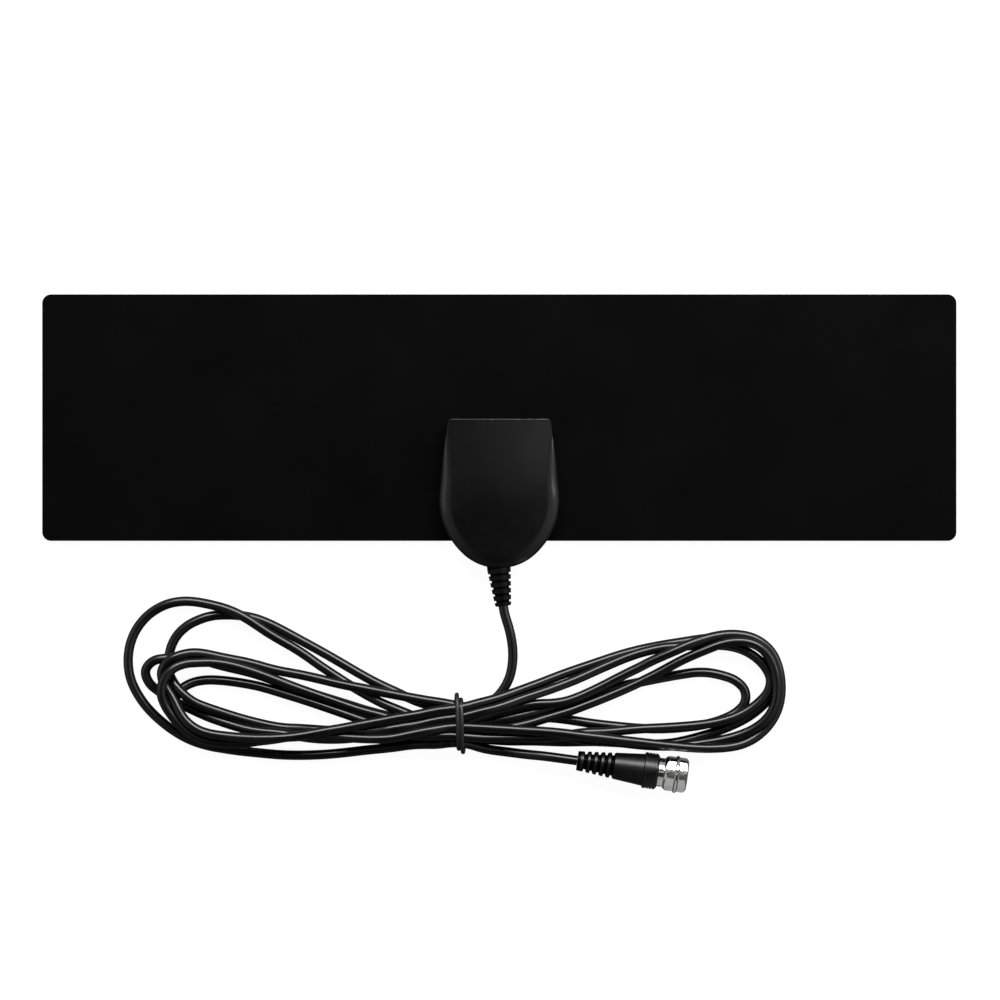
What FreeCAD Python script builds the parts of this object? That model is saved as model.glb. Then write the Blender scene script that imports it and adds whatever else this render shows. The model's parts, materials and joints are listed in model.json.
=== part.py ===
import FreeCAD, Part
import math
import os

V = FreeCAD.Vector
doc = FreeCAD.newDocument("flat_antenna")

# ---------------------------------------------------------------- dimensions (mm, degrees)
DIMS = [
    # laminated sheet
    ("sheet_length", 330.0), ("sheet_top", 49.25), ("sheet_low", 39.75), ("sheet_corner", 3.2),
    ("film_back", 2.4), ("rear_film_t", 0.25), ("front_film_t", 0.33), ("foil_t", 0.08),
    # printed elements
    ("el_inner", 4.0), ("el_tab_top", 6.0), ("el_tab_low", 22.0), ("el_bend", 40.0),
    ("el_outer", 158.0), ("el_high", 42.0), ("el_low", 34.0),
    # housing outline
    ("housing_top", 4.05), ("housing_cy", 24.62), ("oval_half", 21.66), ("oval_low", 24.9), ("oval_side_r", 27.0), ("housing_half", 18.5),
    ("housing_corner", 1.5), ("cover_top", 13.0), ("crown_r", 400.0), ("crown_y", 10.0),
    ("edge_over", 1.2), ("edge_small", 1.75), ("edge_large", 6.0), ("wall", 1.7), ("cavity_top", 10.0),
    ("rear_inset", 0.3), ("rear_edge", 0.7), ("land_gap", 0.05),
    # fasteners
    ("screw_x", 14.5), ("screw_y", 30.0), ("top_screw_y", 1.5), ("boss_r", 2.6),
    ("pilot_r", 1.0), ("pilot_top", 9.0), ("clear_r", 1.4), ("head_r", 2.2), ("head_h", 1.2),
    ("head_pocket_r", 2.45), ("head_pocket", 1.4), ("head_low", 0.2), ("shank_top", 8.6),
    ("recess_w", 0.6), ("recess_l", 2.4), ("recess_d", 0.5),
    # circuit board and what is on it
    ("board_w", 23.0), ("board_low", 38.5), ("board_high", 8.0), ("board_t", 1.0),
    ("feed_x", 7.0), ("feed_y", 12.0), ("feed_r", 0.8), ("feed_head_r", 1.4), ("feed_head_h", 0.5),
    ("core_w", 7.0), ("core_l", 6.0), ("core_h", 4.0), ("core_y", 17.0), ("core_hole_x", 1.7),
    ("core_hole_r", 0.9), ("wire_r", 0.3),
    ("chip_l", 2.0), ("chip_w", 1.25), ("chip_h", 0.6), ("chip_y", 24.5),
    ("clamp_w", 5.0), ("clamp_l", 2.4), ("clamp_cap", 0.6), ("clamp_at", 14.2), ("post_w", 1.8), ("post_at", 20.9), ("post_cap", 0.5),
    # strain relief and the cable in it
    ("exit_x", -0.2), ("exit_y", 49.25), ("exit_z", 5.6), ("exit_tilt", 6.7),
    ("relief_neck_r", 4.25), ("relief_in", 3.5), ("relief_plate", 5.0), ("relief_core_r", 2.4),
    ("relief_shoulder", 0.8), ("relief_end_r", 2.95), ("relief_tip_r", 2.65), ("relief_taper_end", 13.5),
    ("relief_len", 14.0), ("relief_groove", 0.8), ("relief_first", 2.1), ("relief_pitch", 2.45),
    ("relief_cut", 0.7), ("plate_half", 5.6), ("plate_low", 2.59), ("plate_high", 4.3),
    ("cable_r", 1.75), ("jacket_in", 7.0), ("braid_r", 1.1), ("braid_in", 15.0), ("core_r", 0.85),
    ("core_in", 18.0), ("conductor_r", 0.25), ("conductor_in", 21.0),
    # tie
    ("tie_wire_r", 0.8), ("tie_x", 14.26), ("tie_pitch", 1.5), ("waist_y", 105.5), ("waist_z", 6.0),
    ("waist_half", 9.0), ("waist_c", 4.3),
    # plug
    ("plug_x", 28.1), ("plug_y", 118.83), ("plug_z", 6.75), ("plug_tilt", 7.9),
    ("boot_start_r", 3.5), ("boot_rib_end", 13.2), ("boot_rib_r", 4.75), ("boot_cone_end", 23.9),
    ("boot_cone_r", 5.8), ("collar_start", 24.2), ("collar_r", 6.5), ("collar_flat", 28.5),
    ("boot_len", 29.3), ("collar_end_r", 5.7),
    ("rib_slit", 0.8), ("rib_mouth", 2.4), ("rib_lip", 0.45), ("rib_over", 0.5), ("rib_depth", 1.0), ("rib_first", 2.85), ("rib_pitch", 2.43),
    ("ring_groove", 0.35), ("ring_first", 25.3), ("ring_pitch", 1.1), ("ring_floor_r", 6.1),
    ("barrel_start", 16.0), ("barrel_r", 2.6), ("barrel_step", 22.0), ("hub_start", 25.6), ("hub_r", 4.0),
    ("shoulder_r", 5.2), ("shoulder_end", 31.2), ("neck_r", 3.25), ("flange_start", 33.0),
    ("flange_r", 4.27), ("flange_end", 34.0), ("insulator_r", 1.9), ("pin_r", 0.4), ("pin_end", 39.7), ("pin_root_r", 0.9), ("pin_tip", 0.2),
    # coupling nut
    ("nut_start", 31.4), ("nut_end", 39.9), ("nut_across", 11.1), ("nut_turn", 44.0), ("nut_bulge_r", 22.0),
    ("lip_end", 32.9), ("lip_r", 3.3), ("bore_r", 4.36), ("mouth_r", 4.9), ("mouth_depth", 0.5),
    ("nut_back_r", 5.4), ("nut_back_len", 1.5), ("nut_front_r", 5.3), ("nut_front_len", 1.1), ("nut_full_r", 6.6),
    ("bead_start", 35.1), ("bead_r", 6.7), ("bead_len", 1.6), ("bead_round", 0.5),
]
D = dict(DIMS)
sheet = doc.addObject("Spreadsheet::Sheet", "Dims")
for i, (name, value) in enumerate(DIMS, start=1):
    sheet.set("A%d" % i, name)
    sheet.set("B%d" % i, "%s" % value)
    sheet.setAlias("B%d" % i, name)
doc.recompute()


def c(*terms):
    """A signed sum of dimensions: its value and its formula."""
    value, text = 0.0, ""
    for t in terms:
        sign, name = (-1, t[1:]) if t.startswith("-") else (1, t)
        value += sign * D[name]
        text += (" - " if sign < 0 else " + ") + "Dims." + name
    return value, text.strip().lstrip("+ ").strip()


def bind(obj, **props):
    """Drive an object's properties from the sheet. x, y and z are its placement."""
    for key, (value, text) in props.items():
        path = {"x": ".Placement.Base.x", "y": ".Placement.Base.y", "z": ".Placement.Base.z"}.get(key, key)
        obj.setExpression(path, text)
    return obj


def polygon(sk, verts, first=0):
    """Closed outline whose vertices are each held by driven distances."""
    n = len(verts)
    pts = [V(x[0], y[0], 0) for x, y in verts]
    base = sk.GeometryCount
    for i in range(n):
        sk.addGeometry(Part.LineSegment(pts[i], pts[(i + 1) % n]), False)
    import Sketcher
    for i in range(n):
        sk.addConstraint(Sketcher.Constraint("Coincident", base + i, 2, base + (i + 1) % n, 1))
    for i, pair in enumerate(verts):
        for kind, axis, (value, text) in (("DistanceX", -2, pair[0]), ("DistanceY", -1, pair[1])):
            if abs(value) < 1e-9:
                sk.addConstraint(Sketcher.Constraint("PointOnObject", base + i, 1, axis))
                continue
            if value > 0:
                k = sk.addConstraint(Sketcher.Constraint(kind, -1, 1, base + i, 1, value))
            else:
                k = sk.addConstraint(Sketcher.Constraint(kind, base + i, 1, -1, 1, -value))
            label = "v%d_%s" % (base + i, kind[-1])
            sk.renameConstraint(k, label)
            sk.setExpression("Constraints." + label, text if value > 0 else "-(%s)" % text)


def circle(sk, x, y, r, tag):
    import Sketcher
    g = sk.addGeometry(Part.Circle(V(x[0], y[0], 0), V(0, 0, 1), r[0]), False)
    k = sk.addConstraint(Sketcher.Constraint("Radius", g, r[0]))
    sk.renameConstraint(k, tag + "_r")
    sk.setExpression("Constraints." + tag + "_r", r[1])
    for kind, axis, (value, text) in (("DistanceX", -2, x), ("DistanceY", -1, y)):
        if abs(value) < 1e-9:
            sk.addConstraint(Sketcher.Constraint("PointOnObject", g, 3, axis))
            continue
        if value > 0:
            k = sk.addConstraint(Sketcher.Constraint(kind, -1, 1, g, 3, value))
        else:
            k = sk.addConstraint(Sketcher.Constraint(kind, g, 3, -1, 1, -value))
        sk.renameConstraint(k, tag + kind[-1])
        sk.setExpression("Constraints." + tag + kind[-1], text if value > 0 else "-(%s)" % text)


def plane(body, role):
    return [f for f in body.Origin.OriginFeatures if f.Role == role][0]


def new_body(name, label=None):
    b = doc.addObject("PartDesign::Body", name)
    b.Label = label or name
    return b


def body_sketch(body, name, role="XY_Plane", offset=None):
    sk = body.newObject("Sketcher::SketchObject", name)
    sk.AttachmentSupport = [(plane(body, role), "")]
    sk.MapMode = "FlatFace"
    if offset:
        sk.setExpression(".AttachmentOffset.Base.z", offset[1])
    return sk


def pad(body, sk, name, length, reverse=False):
    f = body.newObject("PartDesign::Pad", name)
    f.Profile = sk
    f.setExpression("Length", length[1])
    f.Reversed = reverse
    sk.Visibility = False
    doc.recompute()
    return f


def pocket(body, sk, name, length, up=True):
    before = body.Shape.Volume
    f = body.newObject("PartDesign::Pocket", name)
    f.Profile = sk
    f.setExpression("Length", length[1])
    f.Reversed = up
    doc.recompute()
    assert f.Shape.Volume < before - 1e-6, name + " cut nothing"
    return f


def turn(body, sk, name, cut=False):
    before = body.Shape.Volume if cut else 0
    f = body.newObject("PartDesign::Groove" if cut else "PartDesign::Revolution", name)
    f.Profile = sk
    f.ReferenceAxis = (sk, ["H_Axis"])
    f.Angle = 360.0
    doc.recompute()
    if cut:
        assert f.Shape.Volume < before - 1e-6, name + " cut nothing"
    return f


def repeat(body, feature, name, pitch, count):
    f = body.newObject("PartDesign::LinearPattern", name)
    f.Originals = [feature]
    f.Direction = (plane(body, "X_Axis"), [""])
    f.Occurrences = count
    f.setExpression("Length", "(%s) * %d" % (pitch[1], count - 1))
    body.Tip = f
    doc.recompute()
    return f


def along(obj, x, y, z, angle):
    """Put an object in a frame whose X runs along a cable end."""
    obj.Placement = FreeCAD.Placement(V(x[0], y[0], z[0]), FreeCAD.Rotation(V(0, 0, 1), angle))
    bind(obj, x=x, y=y, z=z)


EXIT = (c("exit_x"), c("-exit_y"), c("exit_z"), D["exit_tilt"] - 90.0)
PLUG = (c("plug_x"), c("-plug_y"), c("plug_z"), -D["plug_tilt"])


def rod(name, start, end, r, frame):
    """Straight round bar on the axis of a cable end, from start to end along it."""
    o = doc.addObject("Part::Cylinder", name)
    bind(o, Radius=r, Height=(end[0] - start[0], "(%s) - (%s)" % (end[1], start[1])))
    x, y, z, angle = frame
    a = math.radians(angle)
    turn_z = FreeCAD.Rotation(V(0, 0, 1), angle)
    o.Placement = FreeCAD.Placement(
        V(x[0] + start[0] * math.cos(a), y[0] + start[0] * math.sin(a), z[0]),
        turn_z.multiply(FreeCAD.Rotation(V(0, 1, 0), 90.0)),
    )
    o.setExpression(".Placement.Base.x", "%s + (%s) * %.9f" % (x[1], start[1], math.cos(a)))
    o.setExpression(".Placement.Base.y", "%s + (%s) * %.9f" % (y[1], start[1], math.sin(a)))
    o.setExpression(".Placement.Base.z", z[1])
    return o


def cut(name, base, tools):
    tool = tools[0]
    if len(tools) > 1:
        tool = doc.addObject("Part::MultiFuse", name + "_tools")
        tool.Shapes = tools
    o = doc.addObject("Part::Cut", name)
    o.Base, o.Tool = base, tool
    doc.recompute()
    assert o.Shape.Volume < base.Shape.Volume - 1e-6, name + " cut nothing"
    return o


def fuse(name, shapes):
    o = doc.addObject("Part::MultiFuse", name)
    o.Shapes = shapes
    o.Refine = True
    doc.recompute()
    return o


def bar(name, r, low, high, x, y):
    o = doc.addObject("Part::Cylinder", name)
    bind(o, Radius=r, Height=(high[0] - low[0], "(%s) - (%s)" % (high[1], low[1])), x=x, y=y, z=low)
    return o


def box(name, w, l, h, x, y, z):
    o = doc.addObject("Part::Box", name)
    bind(o, Length=w, Width=l, Height=h, x=x, y=y, z=z)
    return o


def half(*terms):
    value, text = c(*terms)
    return value / 2, "(%s) / 2" % text


def less(a, b):
    return a[0] - b[0], "%s - (%s)" % (a[1], b[1])


def more(a, b):
    return a[0] + b[0], "%s + (%s)" % (a[1], b[1])


SCREWS = [(c("screw_x"), c("-screw_y")), (c("-screw_x"), c("-screw_y")), ((0.0, "0"), c("-top_screw_y"))]
FEEDS = [(c("feed_x"), c("-feed_y")), (c("-feed_x"), c("-feed_y"))]
ELEMENT = [("el_inner", "-el_tab_low"), ("el_bend", "-el_low"), ("el_outer", "-el_low"),
           ("el_outer", "el_high"), ("el_bend", "el_high"), ("el_inner", "-el_tab_top")]


def element_outline(side):
    return [(c(x) if side > 0 else c("-" + x), c(y)) for x, y in ELEMENT]


# ---------------------------------------------------------------- laminated sheet
def film(name, back, thick):
    import Sketcher
    b = new_body(name)
    sk = body_sketch(b, name + "_outline", offset=back)
    h = half("sheet_length")
    polygon(sk, [((-h[0], "-(%s)" % h[1]), c("-sheet_low")), (h, c("-sheet_low")), (h, c("sheet_top")),
                 ((-h[0], "-(%s)" % h[1]), c("sheet_top"))])
    p = pad(b, sk, name + "_blank", thick)
    corners = ["Edge%d" % i for i, e in enumerate(p.Shape.Edges, 1)
               if abs(e.tangentAt(e.FirstParameter).z) > 0.99]
    f = b.newObject("PartDesign::Fillet", name + "_corners")
    f.Base = (p, corners)
    f.setExpression("Radius", "Dims.sheet_corner")
    doc.recompute()
    holes = body_sketch(b, name + "_holes", offset=back)
    for i, (x, y) in enumerate(SCREWS):
        circle(holes, x, y, c("clear_r"), "s%d" % i)
    if name == "front_film":
        for i, (x, y) in enumerate(FEEDS):
            circle(holes, x, y, c("feed_r"), "f%d" % i)
    pocket(b, holes, name + "_punched", thick)
    if name == "front_film":
        sk = body_sketch(b, name + "_recess", offset=back)
        polygon(sk, element_outline(1))
        polygon(sk, element_outline(-1))
        pocket(b, sk, name + "_foil_room", c("foil_t"))
    return b


rear_film = film("rear_film", c("film_back"), c("rear_film_t"))
front_film = film("front_film", c("film_back", "rear_film_t"), c("front_film_t"))
elements = []
for name, side in (("left_element", -1), ("right_element", 1)):
    b = new_body(name)
    sk = body_sketch(b, name + "_outline", offset=c("film_back", "rear_film_t"))
    polygon(sk, element_outline(side))
    pad(b, sk, name + "_foil", c("foil_t"))
    elements.append(b)

SHEET_FACE = c("film_back", "rear_film_t", "front_film_t")


# ---------------------------------------------------------------- housing covers
def housing_outline(name, inset, low):
    """Flat top edge, flared sides and an oval lower end of three arcs, all tangent."""
    import Sketcher
    sk = doc.addObject("Sketcher::SketchObject", name)
    bind(sk, z=low)
    rc = D["housing_corner"] - min(inset[0], 0.0)
    rc_text = "Dims.housing_corner" if inset[0] >= 0 else "Dims.housing_corner - (%s)" % inset[1]
    top, cy, wide = D["housing_top"] - inset[0], -D["housing_cy"], D["housing_half"] - inset[0]
    a, b, side_r = D["oval_half"], D["oval_low"], D["oval_side_r"]
    low_r = (2 * a * side_r - a * a - b * b) / (2 * (side_r - b))
    low_text = ("(2 * Dims.oval_half * Dims.oval_side_r - Dims.oval_half ^ 2 - Dims.oval_low ^ 2)"
                " / (2 * (Dims.oval_side_r - Dims.oval_low))")
    sx, ly = a - side_r, cy - b + low_r
    join = math.atan2(ly - cy, -sx)
    big, small = side_r - inset[0], low_r - inset[0]
    ax, ay = wide - rc, top - rc
    dx, dy = ax - sx, ay - cy
    side = math.atan2(dy, dx) - math.acos((big - rc) / math.hypot(dx, dy))
    nx, ny = math.cos(side), math.sin(side)
    p1 = V(ax + rc * nx, ay + rc * ny, 0)
    p2 = V(sx + big * nx, cy + big * ny, 0)
    z = V(0, 0, 1)
    geo = [
        Part.LineSegment(V(-ax, top, 0), V(ax, top, 0)),
        Part.ArcOfCircle(Part.Circle(V(ax, ay, 0), z, rc), side, math.pi / 2),
        Part.LineSegment(p1, p2),
        Part.ArcOfCircle(Part.Circle(V(sx, cy, 0), z, big), join, side),
        Part.ArcOfCircle(Part.Circle(V(0, ly, 0), z, small), math.pi - join, 2 * math.pi + join),
        Part.ArcOfCircle(Part.Circle(V(-sx, cy, 0), z, big), math.pi - side, math.pi - join),
        Part.LineSegment(V(-p2.x, p2.y, 0), V(-p1.x, p1.y, 0)),
        Part.ArcOfCircle(Part.Circle(V(-ax, ay, 0), z, rc), math.pi / 2, math.pi - side),
    ]
    sk.addGeometry(geo, False)
    K = Sketcher.Constraint
    for one, p, two, q in ((0, 2, 1, 2), (1, 1, 2, 1), (2, 2, 3, 2), (3, 1, 4, 2), (4, 1, 5, 2), (5, 1, 6, 1), (6, 2, 7, 2), (7, 1, 0, 1)):
        sk.addConstraint(K("Tangent", one, p, two, q))
    sk.addConstraint(K("Symmetric", 0, 1, 0, 2, -2))
    sk.addConstraint(K("PointOnObject", 4, 3, -2))
    sk.addConstraint(K("Equal", 1, 7))
    sk.addConstraint(K("Equal", 3, 5))
    sk.addConstraint(K("Horizontal", 3, 3, 5, 3))
    gap = inset[1]
    for tag, con, text in (
        ("corner", K("Radius", 1, rc), rc_text),
        ("side", K("Radius", 3, big), "Dims.oval_side_r - (%s)" % gap),
        ("lower", K("Radius", 4, small), "%s - (%s)" % (low_text, gap)),
        ("side_x", K("DistanceX", 3, 3, -1, 1, -sx), "Dims.oval_side_r - Dims.oval_half"),
        ("side_y", K("DistanceY", 3, 3, -1, 1, -cy), "Dims.housing_cy"),
        ("half", K("DistanceX", -1, 1, 1, 3, ax), "Dims.housing_half - (%s) - (%s)" % (rc_text, gap)),
        ("top", K("DistanceY", -1, 1, 1, 3, ay), "Dims.housing_top - (%s) - (%s)" % (rc_text, gap)),
    ):
        if tag == "top" and ay < 0:
            con, text = K("DistanceY", 1, 3, -1, 1, -ay), "-(%s)" % text
        k = sk.addConstraint(con)
        sk.renameConstraint(k, tag)
        sk.setExpression("Constraints." + tag, text)
    doc.recompute()
    print(name, "solver", sk.solve(), "free", not sk.FullyConstrained, "low r", round(low_r, 3))
    return sk


def raise_outline(name, inset, low, high):
    sk = housing_outline(name + "_outline", inset, low)
    o = doc.addObject("Part::Extrusion", name)
    o.Base = sk
    o.DirMode = "Normal"
    o.Solid = True
    o.setExpression("LengthFwd", less(high, low)[1])
    doc.recompute()
    return o


# a wider blank takes the large edge rounding, and the outline then trims it, so the rounding ends before it is steep
over = raise_outline("front_over", c("-edge_over"), SHEET_FACE, more(c("cover_top"), (2.0, "2")))
ball = doc.addObject("Part::Sphere", "front_crown")
ball.Placement = FreeCAD.Placement(V(0, 0, 0), FreeCAD.Rotation(V(0, 0, -1), V(-1, 0, 0), V(0, 1, 0), "ZXY"))
bind(ball, Radius=c("crown_r"), y=c("-crown_y"), z=c("cover_top", "-crown_r"))
crowned = doc.addObject("Part::Common", "front_crowned")
crowned.Base, crowned.Tool = over, ball
doc.recompute()

rim = []
for i, e in enumerate(crowned.Shape.Edges, 1):
    if e.BoundBox.ZMin < D["cover_top"] - 4.0:
        continue
    first, last = e.valueAt(e.FirstParameter), e.valueAt(e.LastParameter)
    mid = e.valueAt((e.FirstParameter + e.LastParameter) / 2)
    chord = (last - first).Length
    bow = ((first + last) * 0.5 - mid)
    if mid.y > D["housing_top"] - D["housing_corner"] - 0.6:
        rim.append((i, D["edge_small"], D["edge_small"]))
    elif abs(mid.x) > 15 and V(bow.x, bow.y, 0).Length < 0.004 * chord:
        up = first.y > last.y
        rim.append((i, D["edge_small"] if up else D["edge_large"], D["edge_large"] if up else D["edge_small"]))
    else:
        rim.append((i, D["edge_large"], D["edge_large"]))
for i, r1, r2 in rim:
    e = crowned.Shape.Edges[i - 1]
    print("rim", i, r1, r2, [tuple(round(q, 2) for q in v.Point) for v in e.Vertexes], round(e.Length, 2))
softly = doc.addObject("Part::Fillet", "front_softened")
softly.Base = crowned
softly.Edges = rim
doc.recompute()
blank = raise_outline("front_blank", (0.0, "0"), SHEET_FACE, more(c("cover_top"), (2.0, "2")))
rounded = doc.addObject("Part::Common", "front_rounded")
rounded.Base, rounded.Tool = softly, blank
doc.recompute()

cavity = raise_outline("front_cavity", c("wall"), SHEET_FACE, c("cavity_top"))
bosses = [bar("boss_%d" % i, c("boss_r"), SHEET_FACE, c("cavity_top"), x, y) for i, (x, y) in enumerate(SCREWS)]
room = cut("front_room", cavity, bosses)
pilots = [bar("pilot_%d" % i, c("pilot_r"), SHEET_FACE, c("pilot_top"), x, y) for i, (x, y) in enumerate(SCREWS)]
mouth = rod("mouth", c("-relief_in"), more(c("relief_shoulder"), (4.0, "4")), c("relief_neck_r"), EXIT)
front_cover = cut("front_cover_solid", rounded, [room, mouth] + pilots)
front_cover.Label = "front_cover"

plate = raise_outline("rear_plate", c("rear_inset"), (0.0, "0"), c("film_back"))
back_edges = [(i, D["rear_edge"], D["rear_edge"]) for i, e in enumerate(plate.Shape.Edges, 1) if e.BoundBox.ZMax < 1e-6]
softened = doc.addObject("Part::Chamfer", "rear_softened")
softened.Base = plate
softened.Edges = back_edges
doc.recompute()
step_full = raise_outline("rear_step_full", c("rear_inset"), c("film_back"), SHEET_FACE)
above = box("rear_step_trim", c("sheet_length"), c("sheet_low", "housing_top", "wall"), (2.0, "2"),
            (-D["sheet_length"] / 2, "-(Dims.sheet_length) / 2"), c("-sheet_low", "-land_gap"), c("film_back"))
step = cut("rear_step", step_full, [above])
rear_solid = fuse("rear_joined", [softened, step])
clears, pockets = [], []
for i, (x, y) in enumerate(SCREWS):
    clears.append(bar("clear_%d" % i, c("clear_r"), (0.0, "0"), c("film_back"), x, y))
    pockets.append(bar("head_pocket_%d" % i, c("head_pocket_r"), (0.0, "0"), c("head_pocket"), x, y))
mouth_low = rod("mouth_low", c("-relief_in"), more(c("relief_shoulder"), (4.0, "4")), c("relief_neck_r"), EXIT)
rear_cover = cut("rear_cover_solid", rear_solid, clears + pockets + [mouth_low])
rear_cover.Label = "rear_cover"

# cross-recessed screws that go in from the back
screws = []
for i, (x, y) in enumerate(SCREWS):
    head = bar("screw_head_%d" % i, c("head_r"), c("head_low"), c("head_pocket"), x, y)
    shank = bar("screw_shank_%d" % i, c("pilot_r"), c("head_pocket"), c("shank_top"), x, y)
    whole = fuse("screw_blank_%d" % i, [head, shank])
    arm_a = box("recess_a_%d" % i, c("recess_l"), c("recess_w"), c("recess_d"),
                less(x, half("recess_l")), less(y, half("recess_w")), c("head_low"))
    arm_b = box("recess_b_%d" % i, c("recess_w"), c("recess_l"), c("recess_d"),
                less(x, half("recess_w")), less(y, half("recess_l")), c("head_low"))
    screws.append(cut("screw_%d" % i, whole, [arm_a, arm_b]))
cover_screws = doc.addObject("Part::Compound", "cover_screws")
cover_screws.Links = screws

# ---------------------------------------------------------------- circuit board
BOARD_TOP = more(SHEET_FACE, c("board_t"))
circuit_board = new_body("circuit_board")
sk = body_sketch(circuit_board, "board_outline", offset=SHEET_FACE)
hw = half("board_w")
nhw = (-hw[0], "-(%s)" % hw[1])
polygon(sk, [(nhw, c("-board_low")), (hw, c("-board_low")), (hw, c("-board_high")), (nhw, c("-board_high"))])
pad(circuit_board, sk, "board_blank", c("board_t"))
sk = body_sketch(circuit_board, "board_holes", offset=SHEET_FACE)
for i, (x, y) in enumerate(FEEDS):
    circle(sk, x, y, c("feed_r"), "f%d" % i)
pocket(circuit_board, sk, "board_drilled", c("board_t"))

FOIL_TOP = c("film_back", "rear_film_t", "foil_t")
pins = []
for i, (x, y) in enumerate(FEEDS):
    stem = bar("feed_stem_%d" % i, c("feed_r"), FOIL_TOP, BOARD_TOP, x, y)
    head = bar("feed_head_%d" % i, c("feed_head_r"), BOARD_TOP, more(BOARD_TOP, c("feed_head_h")), x, y)
    pins.append(fuse("feed_pin_%d" % i, [stem, head]))
feed_pins = doc.addObject("Part::Compound", "feed_pins")
feed_pins.Links = pins

block = box("core_block", c("core_w"), c("core_l"), c("core_h"), (-D["core_w"] / 2, "-(Dims.core_w) / 2"),
            less(c("-core_y"), half("core_l")), BOARD_TOP)
holes = []
CORE_Z = more(BOARD_TOP, half("core_h"))
for i, x in enumerate((c("core_hole_x"), c("-core_hole_x"))):
    h = doc.addObject("Part::Cylinder", "core_hole_%d" % i)
    h.Placement = FreeCAD.Placement(V(0, 0, 0), FreeCAD.Rotation(V(1, 0, 0), -90))
    bind(h, Radius=c("core_hole_r"), Height=c("core_l"), x=x, y=less(c("-core_y"), half("core_l")), z=CORE_Z)
    holes.append(h)
balun_core = cut("balun_core", block, holes)

# enamelled wire turn: runs up one hole and back down the other
wx, wr = D["core_hole_x"], D["wire_r"]
y0, y1 = -D["core_y"] - D["core_l"] / 2 - 0.4, -D["core_y"] + D["core_l"] / 2 + 0.4
wz = CORE_Z[0] - D["core_hole_r"] + wr
loop = Part.Wire([
    Part.LineSegment(V(wx, y0, wz), V(wx, y1, wz)).toShape(),
    Part.Arc(V(wx, y1, wz), V(0, y1 + wx, wz), V(-wx, y1, wz)).toShape(),
    Part.LineSegment(V(-wx, y1, wz), V(-wx, y0, wz)).toShape(),
    Part.Arc(V(-wx, y0, wz), V(0, y0 - wx, wz), V(wx, y0, wz)).toShape(),
])
section = Part.Wire([Part.Circle(V(wx, y0, wz), V(0, 1, 0), wr).toShape()])
balun_winding = doc.addObject("Part::Feature", "balun_winding")
balun_winding.Shape = loop.makePipeShell([section], True, False)

chips = []
for i, x in enumerate((5.6, -5.6, 8.4)):
    y = less(c("-chip_y"), half("chip_w"))
    chips.append(box("chip_%d" % i, c("chip_l"), c("chip_w"), c("chip_h"), (x - D["chip_l"] / 2, "%s - Dims.chip_l / 2" % x),
                     y, BOARD_TOP))
chip_components = doc.addObject("Part::Compound", "chip_components")
chip_components.Links = chips

# ---------------------------------------------------------------- strain relief and the stripped cable end
strain_relief = new_body("strain_relief")
sk = body_sketch(strain_relief, "relief_profile")
polygon(sk, [
    (c("-relief_plate"), c("cable_r")), (c("relief_len"), c("cable_r")), (c("relief_len"), c("relief_tip_r")),
    (c("relief_taper_end"), c("relief_end_r")), (c("relief_shoulder"), c("relief_neck_r")),
    (c("-relief_in"), c("relief_neck_r")), (c("-relief_in"), c("relief_core_r")), (c("-relief_plate"), c("relief_core_r")),
])
turn(strain_relief, sk, "relief_body")
sk = body_sketch(strain_relief, "relief_plate_outline", "YZ_Plane", offset=c("-relief_plate"))
polygon(sk, [(c("-plate_half"), c("-plate_low")), (c("plate_half"), c("-plate_low")),
             (c("plate_half"), c("plate_high")), (c("-plate_half"), c("plate_high"))])
circle(sk, (0.0, "0"), (0.0, "0"), c("cable_r"), "way")
pad(strain_relief, sk, "relief_key", c("relief_plate", "-relief_in"))
sk = body_sketch(strain_relief, "relief_groove_profile")
slope = "(Dims.relief_neck_r - Dims.relief_end_r) / (Dims.relief_taper_end - Dims.relief_shoulder)"
for i in range(5):
    at = D["relief_first"] + i * D["relief_pitch"]
    at_text = "Dims.relief_first + %d * Dims.relief_pitch" % i
    r = D["relief_neck_r"] - (at - D["relief_shoulder"]) * (D["relief_neck_r"] - D["relief_end_r"]) / (D["relief_taper_end"] - D["relief_shoulder"])
    r_text = "Dims.relief_neck_r - (%s - Dims.relief_shoulder) * %s" % (at_text, slope)
    left, right = (at, at_text), (at + D["relief_groove"], at_text + " + Dims.relief_groove")
    floor, out = (r - D["relief_cut"], "%s - Dims.relief_cut" % r_text), (r + 1.0, "%s + 1" % r_text)
    polygon(sk, [(left, floor), (right, floor), (right, out), (left, out)])
turn(strain_relief, sk, "relief_grooves", cut=True)
along(strain_relief, *EXIT)

cable_entry = rod("cable_entry", c("-jacket_in"), c("relief_len"), c("cable_r"), EXIT)
inner_conductor = rod("inner_conductor", c("-conductor_in"), c("-jacket_in"), c("conductor_r"), EXIT)
diel = rod("dielectric_bar", c("-core_in"), c("-jacket_in"), c("core_r"), EXIT)
cable_dielectric = cut("cable_dielectric", diel, [rod("dielectric_way", c("-core_in"), c("-jacket_in"), c("conductor_r"), EXIT)])
braid = rod("braid_bar", c("-braid_in"), c("-jacket_in"), c("braid_r"), EXIT)
cable_braid = cut("cable_braid", braid, [rod("braid_way", c("-braid_in"), c("-jacket_in"), c("core_r"), EXIT)])

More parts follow.
